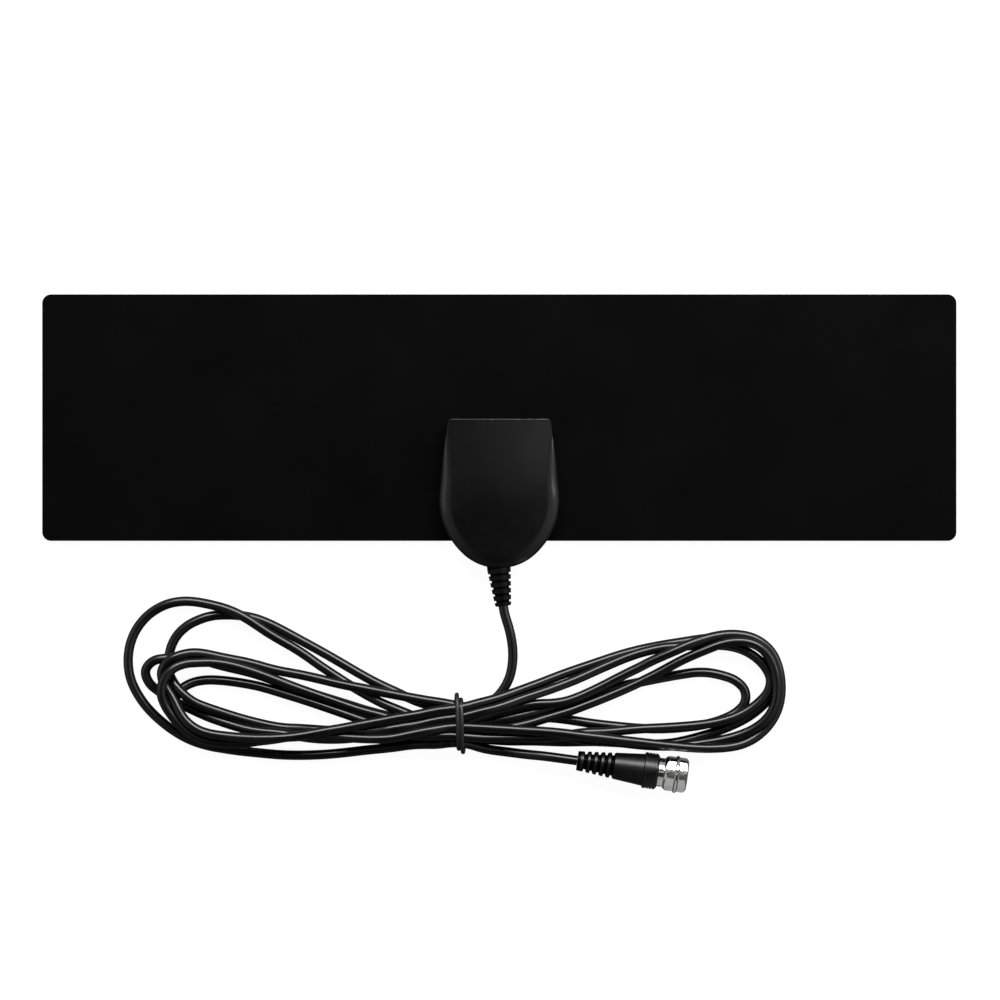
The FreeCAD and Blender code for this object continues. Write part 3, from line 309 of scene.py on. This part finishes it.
# ------------------------------------------------------------------ cable
# One open spline: the route's points out of the strain relief, the folded hank's turns, the route's points to the plug.
EXIT = (-0.2 + 14 * math.cos(EXIT_TURN), -49.25 + 14 * math.sin(EXIT_TURN), 5.6)
LEAD = [
    EXIT,
    (EXIT[0] + 2.5 * math.cos(EXIT_TURN), EXIT[1] + 2.5 * math.sin(EXIT_TURN), 5.6),
    (3.5, -71.0, 5.5), (4.7, -76.5, 5.1), (5.0, -82.4, 4.5), (4.05, -88.5, 3.9), (1.45, -93.6, 3.6),
    (-1.91, -97.2, 3.9),
]
TAIL = [
    (-11.9, -112.6, 5.0), (-5.1, -114.9, 3.4), (2.6, -115.9, 2.8), (9.6, -116.75, 4.0), (15.9, -117.2, 5.9),
    (PLUG_BASE[0] - 6.1 * math.cos(PLUG_TURN), PLUG_BASE[1] - 6.1 * math.sin(PLUG_TURN), 6.75),
    PLUG_BASE,
]
# hank points, mm
HANK = [
    (-5.96, -98.96, 4.9), (-10.65, -99.77, 6.17), (-15.5, -98.98, 6.41), (-20.25, -98.03, 6.56),
    (-25.08, -97.35, 6.42), (-29.83, -96.54, 6.27), (-34.7, -95.64, 6.1), (-39.43, -94.76, 5.93),
    (-44.34, -93.79, 5.79), (-49.04, -92.88, 5.68), (-53.94, -91.98, 5.49), (-58.77, -90.99, 5.1),
    (-63.33, -89.88, 4.63), (-68.06, -88.79, 4.22), (-72.89, -87.79, 3.9), (-77.68, -86.99, 3.7),
    (-82.46, -85.95, 3.62), (-87.13, -84.56, 3.68), (-91.95, -83.33, 3.88), (-96.62, -82.45, 4.26),
    (-101.42, -81.45, 4.9), (-106.18, -80.32, 5.79), (-110.66, -79.88, 6.82), (-115.5, -80.92, 7.64),
    (-119.9, -83.1, 7.61), (-122.08, -87.44, 6.87), (-120.34, -92.18, 6.54), (-117.57, -96.1, 7.14),
    (-115.54, -100.53, 8.01), (-112.84, -104.54, 8.49), (-108.95, -107.55, 8.63), (-104.25, -109.13, 8.72),
    (-99.32, -109.79, 8.95), (-94.57, -110.24, 9.32), (-89.8, -110.52, 9.83), (-85.05, -110.6, 10.43),
    (-80.22, -110.44, 10.98), (-75.33, -110.1, 11), (-70.62, -109.49, 11), (-65.63, -108.57, 11),
    (-60.94, -107.68, 10.99), (-56.2, -106.94, 10.71), (-51.27, -105.95, 10.42), (-46.6, -105.11, 10.17),
    (-41.63, -104.23, 9.97), (-36.98, -103.27, 9.83), (-31.99, -102.57, 9.75), (-27.29, -101.72, 9.72),
    (-22.41, -100.62, 9.72), (-17.61, -100.09, 9.73), (-12.66, -99.46, 9.51), (-8.01, -98.15, 8.88),
    (-3.39, -97.05, 8.02), (1.11, -95.8, 7.13), (5.73, -94.18, 6.28), (10.2, -92.6, 5.49), (14.76, -90.97, 4.78),
    (19.21, -89.24, 4.16), (23.83, -87.52, 3.62), (28.45, -85.93, 3.17), (33.02, -84.43, 2.8), (37.74, -82.82, 2.51),
    (42.3, -81.3, 2.29), (47.1, -79.91, 2.12), (51.75, -78.78, 1.99), (56.67, -77.78, 1.9), (61.38, -76.97, 1.9),
    (66.37, -76.22, 1.9), (71.03, -75.43, 1.9), (75.99, -74.79, 1.9), (80.81, -74.54, 1.9), (85.73, -74.52, 1.9),
    (90.55, -75.58, 1.9), (94.75, -78.23, 1.9), (97.73, -82.2, 1.9), (99.18, -86.9, 1.9), (99.43, -91.83, 1.9),
    (97.8, -96.57, 1.9), (94.4, -100.04, 1.9), (90.4, -103.12, 1.9), (86.25, -105.4, 1.9), (81.71, -107.42, 1.9),
    (77.11, -109.09, 1.9), (72.42, -110.47, 1.9), (67.62, -111.78, 1.9), (62.88, -112.75, 1.9), (58.06, -113.17, 1.9),
    (53.06, -113.15, 1.9), (48.27, -112.91, 1.9), (43.26, -112.62, 1.9), (38.49, -112.36, 1.9), (33.54, -112.17, 1.9),
    (28.57, -112.27, 1.9), (23.76, -112.35, 1.9), (18.85, -112.21, 1.9), (13.94, -112.02, 1.9), (9.07, -111.96, 1.9),
    (4.11, -112.01, 1.9), (-0.63, -111.78, 1.9), (-5.65, -111.36, 1.9), (-10.36, -110.87, 1.9),
    (-15.16, -110.02, 1.9), (-19.96, -108.96, 1.9), (-24.6, -107.99, 1.93), (-29.32, -106.96, 2.73),
    (-33.77, -105.59, 4.14), (-38.12, -103.99, 5.16), (-42.87, -102.49, 5.45), (-47.66, -101.35, 5.46),
    (-52.28, -99.97, 5.44), (-57.01, -98.34, 5.4), (-61.52, -96.76, 5.35), (-66.25, -95.11, 5.34),
    (-70.77, -93.53, 5.38), (-75.46, -91.79, 5.46), (-79.93, -90.04, 5.61), (-84.56, -88.2, 5.84),
    (-89.09, -86.57, 6.17), (-93.82, -85.11, 6.59), (-98.53, -83.92, 7.08), (-103.39, -83.3, 7.57),
    (-108.24, -83.39, 8.1), (-113.21, -83.66, 8.73), (-117.66, -85.55, 9.46), (-120.68, -89.18, 9.87),
    (-121.83, -94.07, 9.45), (-120.45, -98.66, 8.36), (-117.91, -102.69, 7.3), (-114.78, -106.39, 6.67),
    (-110.99, -109.67, 6.4), (-106.55, -111.63, 6.29), (-101.68, -112.43, 6.29), (-96.89, -112.83, 6.42),
    (-91.88, -112.63, 6.67), (-87.08, -111.78, 7.02), (-82.31, -111.28, 7.44), (-77.6, -110.5, 7.81),
    (-72.72, -109.69, 7.93), (-67.95, -109.52, 7.88), (-62.95, -109.8, 8.14), (-58.23, -110.11, 8.8),
    (-53.2, -110.46, 9.6), (-48.38, -110.69, 10.38), (-43.63, -110.74, 10.92), (-38.68, -110.46, 11),
    (-33.9, -109.48, 11), (-29.21, -108.47, 11), (-24.23, -107.56, 11), (-19.54, -106.74, 10.07),
    (-14.67, -106.41, 10.07), (-9.82, -106.62, 10.07), (-4.81, -106.86, 10.84), (-0.06, -107.13, 10.71),
    (4.97, -107.46, 10.64), (9.7, -107.75, 10.64), (14.73, -108.04, 10.71), (19.53, -108.39, 10.82),
    (24.28, -108.89, 10.86), (29.22, -109.56, 10.68), (34.03, -110.07, 10.3), (38.72, -110.65, 9.88),
    (43.7, -111.3, 9.49), (48.45, -111.87, 9.14), (53.41, -112.47, 8.83), (58.17, -113.03, 8.54),
    (63.13, -113.52, 8.29), (67.92, -113.99, 8), (72.85, -114.3, 7.6), (77.66, -114.32, 7.09), (82.41, -114.04, 6.45),
    (87.15, -113.21, 5.73), (91.64, -111.22, 5.04), (95.5, -108.24, 4.47), (98.61, -104.42, 4.17),
    (100.72, -99.98, 4.15), (101.64, -95.09, 4.24), (101.61, -90.3, 4.38), (100.81, -85.48, 4.55),
    (98.95, -80.75, 4.73), (95.86, -77.09, 4.94), (91.52, -74.53, 5.18), (86.76, -73.44, 5.55), (81.84, -73.36, 6.11),
    (77.07, -74.13, 6.78), (72.54, -75.39, 7.47), (67.96, -77.08, 7.96), (63.43, -79.16, 7.98), (59.1, -81.01, 7.6),
    (54.62, -83.03, 7.13), (50.47, -85.24, 6.7), (46.07, -87.37, 6.36), (41.66, -89.6, 6.12), (37.39, -91.87, 5.99),
    (32.89, -94.05, 5.97), (28.5, -96.02, 6.06), (23.83, -97.63, 6.2), (19.04, -98.31, 6.32), (14.12, -98.33, 6.38),
    (9.34, -98.94, 6.45), (4.44, -99.97, 6.63), (-0.22, -101.02, 7.03), (-4.92, -102.39, 7.66),
    (-9.38, -104.11, 8.11), (-13.95, -105.34, 8.01), (-18.9, -105.89, 7.86), (-23.78, -106.97, 7.44),
    (-28.44, -107.69, 6.18), (-32.93, -108.54, 4.77), (-37.84, -108.85, 4.12), (-42.63, -109.29, 4.4),
    (-47.51, -109.83, 4.97), (-52.25, -110.76, 5.19), (-57.19, -111.14, 5.08), (-62.08, -111.2, 5),
    (-66.89, -110.94, 5.01), (-71.71, -110.28, 4.95), (-76.67, -109.36, 4.83), (-81.39, -108.82, 4.6),
    (-86.4, -108.45, 4.18), (-91.18, -107.7, 3.68), (-95.83, -106.47, 3.2), (-100.43, -104.99, 2.74),
    (-104.99, -103.39, 2.31), (-109.57, -101.38, 1.92), (-113.92, -99.3, 1.9), (-118.55, -97.38, 1.9),
    (-122.42, -94.47, 1.93), (-126.38, -91.49, 2.69), (-128.28, -86.58, 3.53), (-125.09, -82.75, 4.33),
    (-120.2, -81.95, 4.69), (-115.37, -82, 4.41), (-110.6, -82.29, 3.87), (-105.84, -83.12, 3.4),
    (-101.13, -84.55, 3), (-96.47, -85.71, 2.69), (-91.57, -86.83, 2.44), (-86.95, -88.17, 2.26),
    (-82.28, -89.87, 2.13), (-77.73, -91.51, 2.04), (-73.02, -93.05, 1.98), (-68.44, -94.6, 1.95),
    (-63.75, -96.13, 1.93), (-59.09, -97.51, 1.91), (-54.39, -99, 1.91), (-49.74, -100.5, 1.9),
    (-45.03, -101.84, 1.9), (-40.2, -103.01, 1.9), (-35.4, -103.52, 1.9), (-30.56, -103.59, 1.9),
    (-25.57, -104.45, 1.9), (-20.84, -104.53, 1.9), (-16.07, -104.38, 1.9), (-11.16, -104.17, 1.9),
    (-6.34, -104.04, 1.9), (-1.51, -104.03, 1.9), (3.33, -103.83, 1.9), (8.2, -103.62, 1.9), (13.17, -103.67, 1.9),
    (18.04, -103.58, 1.9), (22.91, -104.05, 1.9), (27.7, -104.77, 1.9), (32.64, -105.6, 1.9), (37.36, -106.18, 1.9),
    (42.37, -106.71, 1.9), (47.1, -107.18, 1.9), (52.07, -107.54, 1.9), (56.93, -107.66, 1.9), (61.89, -107.52, 1.9),
    (66.69, -107.14, 1.9), (71.64, -106.55, 1.9), (76.35, -105.62, 1.9), (81.07, -104.07, 1.9), (85.49, -101.94, 1.9),
    (89.12, -98.31, 1.9), (88.95, -93.29, 1.9), (85.14, -89.85, 1.9), (80.48, -88.28, 1.9), (75.58, -87.26, 1.9),
    (70.82, -87.19, 1.91), (65.85, -87.94, 1.92), (61.13, -88.75, 1.94), (56.24, -89.67, 1.96), (51.46, -90.66, 2.01),
    (46.64, -91.56, 2.08), (41.86, -92.62, 2.18), (37.16, -93.98, 2.32), (32.47, -95.56, 2.51), (27.96, -97.14, 2.75),
    (23.29, -98.69, 3.1), (18.49, -100.08, 3.61), (13.98, -101.17, 4.27), (9.32, -102.34, 4.86),
    (4.64, -103.38, 5.13), (-0.31, -104.45, 5.1), (-5.15, -105.51, 5.04), (-9.62, -104.3, 5.02),
    (-14.15, -102.26, 4.83), (-18.84, -101.06, 4.4), (-23.11, -99.7, 3.89), (-27.75, -98.38, 3.4),
    (-32.35, -96.64, 3), (-36.69, -94.53, 2.7), (-41.19, -92.53, 2.47), (-45.64, -90.38, 2.3), (-49.88, -88.05, 2.17),
    (-54.16, -85.56, 2.08), (-58.34, -83.1, 2.01), (-62.62, -80.65, 1.97), (-66.87, -78.28, 1.94),
    (-71.19, -75.94, 1.92), (-75.53, -73.58, 1.91), (-79.7, -71.3, 1.9), (-84.24, -69.12, 1.9), (-88.82, -67.46, 1.9),
    (-93.67, -66.63, 1.9), (-98.54, -66.43, 1.9), (-103.47, -66.64, 1.9), (-108.14, -68, 1.9), (-112.61, -70.16, 1.9),
    (-116.29, -73.45, 1.9), (-118.64, -77.78, 1.9), (-119.53, -82.66, 1.96), (-119.27, -87.52, 3.47),
    (-116.97, -91.62, 5.45), (-113.68, -95.14, 6.27), (-109.96, -97.98, 5.81), (-105.39, -99.79, 4.95),
    (-100.84, -101.37, 4.17), (-96.19, -102.93, 3.5), (-91.49, -104.34, 2.92), (-86.8, -105.57, 2.42),
    (-81.99, -106.68, 2.08), (-77.16, -107.33, 2.25), (-72.24, -107.42, 3.11), (-67.54, -107.68, 4.24),
    (-62.76, -108, 5.33), (-57.91, -108.05, 6.34), (-53.03, -107.99, 7.26), (-48.28, -108.12, 8.2),
    (-43.44, -108.02, 9.3), (-38.65, -107.16, 10.16), (-33.92, -106.29, 10.02), (-29.12, -105.66, 9.48),
    (-24.25, -104.49, 9.56), (-19.59, -103.64, 10.03), (-14.68, -103.1, 10.07), (-9.95, -101.9, 10.07),
    (-5.12, -100.64, 10.33), (-0.48, -99.49, 9.86), (4.07, -98, 9.14), (8.63, -96.27, 8.33), (13.15, -94.86, 7.55),
    (17.67, -93.39, 6.86), (22.35, -91.72, 6.28), (26.89, -90, 5.83), (31.41, -88.04, 5.5), (35.84, -86.01, 5.27),
    (40.32, -84.07, 5.14), (44.82, -82.15, 5.08), (49.52, -80.47, 5.06), (54.12, -79.2, 5.05), (59.03, -78.17, 5.04),
    (63.82, -77.78, 4.93), (68.7, -77.5, 4.7), (73.58, -77.2, 4.44), (78.45, -77.28, 4.31), (83.37, -77.66, 4.31),
    (88.12, -79.04, 4.39), (92.31, -81.46, 4.49), (95.86, -84.93, 4.6), (98.15, -89.43, 4.71), (97.15, -94.22, 4.81),
    (93.63, -97.99, 4.88), (89.85, -100.88, 4.95), (85.37, -103.14, 5.02), (80.83, -104.6, 5.09),
    (75.93, -105.57, 5.17), (71.1, -106.18, 5.26), (66.14, -106.6, 5.37), (61.36, -106.92, 5.5),
    (56.36, -107.17, 5.67), (51.59, -107.36, 5.88), (46.59, -107.73, 6.14), (41.87, -108.23, 6.45),
    (36.86, -108.55, 6.8), (32.13, -108.57, 7.18), (27.34, -109.08, 7.54), (22.52, -110.05, 7.8),
    (17.56, -110.56, 7.96), (12.68, -110.64, 8.11), (7.76, -110.59, 8.3), (2.95, -110.57, 8.54), (-2, -110.59, 8.84),
    (-6.74, -110.47, 9.17), (-11.5, -110.14, 9.46), (-16.53, -109.68, 9.47), (-21.25, -109.73, 9.08),
    (-26.03, -110.04, 8.58), (-31, -109.6, 8.15), (-35.52, -108.36, 7.51), (-40.11, -106.64, 6.64),
    (-44.75, -105.7, 5.88), (-49.51, -104.28, 5.27), (-54, -102.67, 4.74), (-58.77, -101.04, 4.28),
    (-63.26, -99.5, 3.9), (-68.04, -97.9, 3.55), (-72.59, -96.45, 3.24), (-77.37, -95.01, 2.97),
    (-81.93, -93.59, 2.74), (-86.64, -92.26, 2.55), (-91.45, -91.3, 2.39), (-96.3, -90.56, 2.27),
    (-101.18, -90.04, 2.2), (-106.04, -89.91, 2.18), (-110.91, -90.76, 2.32), (-115.38, -93.32, 3.12),
    (-117.23, -97.45, 4.29), (-115.92, -102.25, 4.55), (-112.66, -105.81, 3.97), (-108.61, -108.49, 3.38),
    (-103.92, -110.07, 2.94), (-99.06, -110.76, 2.6), (-94.18, -111.06, 2.32), (-89.33, -111.19, 2.1),
    (-84.46, -111.08, 1.91), (-79.46, -110.69, 1.9), (-74.66, -110.59, 1.9), (-69.75, -110.19, 1.9),
    (-64.88, -109.83, 1.9), (-59.93, -109.77, 1.9), (-55.1, -109.99, 1.9), (-50.26, -110.66, 1.9),
    (-45.32, -111.23, 1.9), (-40.41, -111.44, 1.95), (-35.57, -111.32, 2.11), (-30.75, -110.81, 2.69),
    (-26.02, -110.2, 4), (-21.41, -109.61, 5.49), (-16.81, -108.99, 6.35), (-12.15, -108.5, 6.57),
    (-7.36, -108.27, 6.58), (-2.45, -107.95, 6.52), (2.41, -107.11, 6.32), (7.11, -106.24, 6.03),
    (11.94, -105.16, 5.76), (16.66, -103.62, 5.52), (21.31, -102.28, 5.32), (25.86, -100.95, 5.18),
    (30.51, -99.17, 5.1), (35.04, -97.43, 5.07), (39.66, -95.56, 5.11), (44.03, -93.69, 5.21), (48.53, -91.67, 5.36),
    (52.94, -89.52, 5.58), (57.34, -87.27, 5.85), (61.49, -84.97, 6.17), (65.93, -82.55, 6.54), (70.19, -80.6, 6.95),
    (74.66, -78.76, 7.35), (79.24, -76.9, 7.66), (83.97, -75.83, 7.82), (88.94, -75.85, 7.83), (93.6, -77.55, 7.7),
    (97.11, -80.99, 7.53), (99.12, -85.56, 7.35), (100.01, -90.28, 7.17), (99.97, -95.35, 7), (98.87, -99.99, 6.83),
    (96.16, -104.16, 6.59), (92.26, -107.22, 6.16), (87.93, -109.3, 5.64), (83.31, -110.79, 5.17),
    (78.46, -111.85, 4.84), (73.68, -112.58, 4.72), (68.93, -113.2, 4.78), (63.89, -113.6, 4.94),
    (59.14, -113.72, 5.07), (54.11, -113.54, 5.13), (49.37, -113.12, 5.16), (44.4, -112.53, 5.18),
    (39.57, -112.02, 5.2), (34.65, -111.85, 5.19), (29.86, -111.42, 5.01), (25.1, -110.45, 4.61),
    (20.2, -109.75, 4.22), (15.35, -109.44, 3.96), (10.43, -109.2, 3.72), (5.57, -108.98, 3.51),
    (0.72, -108.59, 3.35), (-4.15, -108.08, 3.29), (-9.09, -107.66, 3.33), (-13.82, -107.26, 3.53),
    (-18.72, -106.93, 4.01), (-23.56, -105.94, 4.69), (-27.94, -104.1, 5.15), (-32.4, -102.28, 5),
    (-36.83, -100.53, 4.41), (-41.31, -98.79, 3.75), (-45.73, -96.54, 3.12), (-49.89, -94.27, 2.55),
    (-54.22, -91.68, 2.21), (-58.21, -89.11, 2.17), (-62.44, -86.37, 2.33), (-66.35, -83.65, 2.58),
    (-70.4, -80.71, 2.89), (-74.49, -78.08, 3.28), (-78.78, -75.64, 3.72), (-82.85, -73.22, 4.22),
    (-86.87, -70.52, 4.74), (-90.78, -67.84, 5.11), (-95.12, -65.48, 5.07), (-99.65, -63.78, 4.65),
    (-104.19, -62.7, 4.14), (-109.04, -61.73, 3.65), (-113.8, -61.41, 3.23), (-118.77, -62.1, 2.87),
    (-123.28, -63.96, 2.59), (-127.31, -66.84, 2.37), (-130.52, -70.62, 2.21), (-132.75, -74.92, 2.09),
    (-133.96, -79.72, 2.02), (-134.12, -84.61, 1.97), (-133.3, -89.53, 1.94), (-131.33, -93.99, 1.92),
    (-128.66, -98.16, 1.91), (-125.51, -101.83, 1.91), (-121.83, -105.16, 1.9), (-117.99, -108.1, 1.9),
    (-113.75, -110.67, 1.9), (-109.34, -112.6, 1.9), (-104.51, -113.93, 1.91), (-99.77, -114.75, 1.91),
    (-94.83, -115.49, 1.92), (-90.08, -116.02, 1.94), (-85.09, -116.5, 1.97), (-80.33, -116.94, 2.02),
    (-75.32, -117.16, 2.09), (-70.55, -117.16, 2.2), (-65.52, -117, 2.35), (-60.77, -116.69, 2.56),
    (-55.76, -116.18, 2.83), (-51.05, -115.59, 3.17), (-46.05, -115, 3.58), (-41.32, -114.56, 4.04),
    (-36.59, -113.95, 4.51), (-31.76, -113.21, 4.69), (-27.05, -112.99, 5.49), (-22.02, -113.02, 5.89),
    (-17.26, -112.24, 6.5),
]
# hank end


def curve_piece(name, points, radius, mat, around=6, along=6):
    data = bpy.data.curves.new(name, "CURVE")
    data.dimensions = "3D"
    sp = data.splines.new("NURBS")
    sp.points.add(len(points) - 1)
    for p, q in zip(sp.points, points):
        p.co = (q[0] * MM, q[1] * MM, q[2] * MM, 1.0)
    sp.order_u = 3
    sp.use_endpoint_u = True
    sp.use_smooth = True
    data.resolution_u = along
    data.bevel_depth = radius * MM
    data.bevel_resolution = around
    data.use_fill_caps = True
    data.twist_mode = "MINIMUM"
    data.materials.append(mat)
    o = bpy.data.objects.new(name, data)
    scene.collection.objects.link(o)
    return o


# wire tie: two turns round the waist of the hank, crossing at the top
def bent(value, power):
    return math.copysign(abs(value) ** power, value)


TIE = []
for i in range(41):
    turn = i / 40.0 * 2.0
    phase = 2 * math.pi * (turn - 0.2)
    TIE.append((
        -15.3 + 1.5 * (turn - 0.2),
        -104.9 - 1.5 * (turn - 0.45) + (9.6 - 0.3 * turn) * bent(math.cos(phase), 0.85),
        6.3 + 5.5 * bent(math.sin(phase), 0.7)))
tie = curve_piece("wire_tie", TIE, 0.8, MATS["tie"], around=5, along=6)
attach(tie, "antenna")
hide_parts("cable_tie")

cable = curve_piece("coax_cable", LEAD + HANK + TAIL, 1.75, MATS["cable"], around=7, along=5)
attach(cable, "antenna")
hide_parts("cable_lead", "cable_hank", "cable_tail")

# ------------------------------------------------------------------ floor and light
floor_mat, ft, fs = new_material("floor_pale", (0.12, 0.12, 0.12), 0.9, specular=0.05)
fs.inputs["Emission Color"].default_value = (1.0, 1.0, 1.0, 1.0)
fs.inputs["Emission Strength"].default_value = 0.95
fm = bpy.data.meshes.new("floor")
fm.from_pydata([(-4, -4, 0), (4, -4, 0), (4, 4, 0), (-4, 4, 0)], [], [(0, 1, 2, 3)])
fm.materials.append(floor_mat)
floor = bpy.data.objects.new("floor", fm)
floor.location = (0, 0, -0.0002)
scene.collection.objects.link(floor)
floor.visible_glossy = False

world = bpy.data.worlds.new("studio")
world.use_nodes = True
scene.world = world
wt = world.node_tree
wt.nodes.clear()
wo = wt.nodes.new("ShaderNodeOutputWorld")
bg = wt.nodes.new("ShaderNodeBackground")
wc = wt.nodes.new("ShaderNodeTexCoord")
sep = wt.nodes.new("ShaderNodeSeparateXYZ")
wt.links.new(wc.outputs["Generated"], sep.inputs[0])
rise = remap(wt, sep.outputs["Z"], -1.0, 1.0, 0.0, 1.0)
level = ramp(wt, rise, [(0.0, (0.2, 0.2, 0.2)), (0.46, (0.2, 0.2, 0.2)), (0.52, (0.38, 0.38, 0.38)), (0.66, (0.34, 0.34, 0.34)), (0.84, (0.1, 0.1, 0.1)), (0.95, (0.04, 0.04, 0.04))])
side = remap(wt, sep.outputs["Y"], -0.8, 0.6, 0.3, 1.0)
flank = math_node(wt, "ADD", remap(wt, sep.outputs["X"], 0.08, 0.45, 0.0, 0.5), remap(wt, sep.outputs["X"], -0.12, -0.5, 0.0, 0.3))
above = remap(wt, sep.outputs["Z"], 0.0, 0.25, 0.0, 1.0)
rear = remap(wt, sep.outputs["Y"], -0.7, -0.2, 0.25, 1.0)
total = math_node(wt, "ADD", math_node(wt, "MULTIPLY", level, side), math_node(wt, "MULTIPLY", math_node(wt, "MULTIPLY", flank, rear), above))
bg.inputs["Color"].default_value = (1.0, 1.0, 1.0, 1.0)
wt.links.new(total, bg.inputs["Strength"])
wt.links.new(bg.outputs[0], wo.inputs["Surface"])


def softbox(name, direction, elevation, distance, width, height, power, spread=math.pi):
    """An area light at a compass direction (degrees from +Y towards +X) and elevation, facing the object."""
    a, e = math.radians(direction), math.radians(elevation)
    d = Vector((math.sin(a) * math.cos(e), math.cos(a) * math.cos(e), math.sin(e)))
    data = bpy.data.lights.new(name, "AREA")
    data.shape = "RECTANGLE"
    data.size, data.size_y = width, height
    data.energy = power
    data.spread = spread
    o = bpy.data.objects.new(name, data)
    target = Vector((0, -0.04, 0))
    o.location = target + d * distance
    o.rotation_mode = "QUATERNION"
    o.rotation_quaternion = d.to_track_quat("Z", "Y")
    o.visible_camera = False
    scene.collection.objects.link(o)
    return o


softbox("key_back", 8, 47, 1.5, 1.7, 0.72, 38)
softbox("fill_right", 68, 32, 1.5, 0.95, 0.6, 4.4)
softbox("fill_left", -84, 30, 1.5, 0.8, 0.6, 0.6)


def overhead(name, x0, x1, y0, y1, height, radiance):
    """A panel facing straight down, just behind the camera's axis."""
    data = bpy.data.lights.new(name, "AREA")
    data.shape = "RECTANGLE"
    data.size, data.size_y = x1 - x0, y1 - y0
    data.energy = radiance * math.pi * (x1 - x0) * (y1 - y0)
    o = bpy.data.objects.new(name, data)
    o.location = (0.5 * (x0 + x1), 0.5 * (y0 + y1), height)
    o.visible_camera = False
    scene.collection.objects.link(o)
    return o


overhead("top_panel_left", -0.6, -0.06, -0.075, 0.22, 1.62, 0.09)
overhead("top_panel_middle", -0.06, 0.1, -0.075, 0.22, 1.62, 0.23)
overhead("top_panel_right", 0.1, 0.3, -0.075, 0.22, 1.62, 0.55)

# low card in front of the plug
data = bpy.data.lights.new("plug_card", "AREA")
data.shape = "RECTANGLE"
data.size, data.size_y = 0.03, 0.096
data.energy = 0.37 * math.pi * 0.03 * 0.096
card = bpy.data.objects.new("plug_card", data)
card.location = (0.066, -0.166, 0.023)
card.rotation_euler = (math.radians(90), 0, 0)
card.visible_camera = False
scene.collection.objects.link(card)
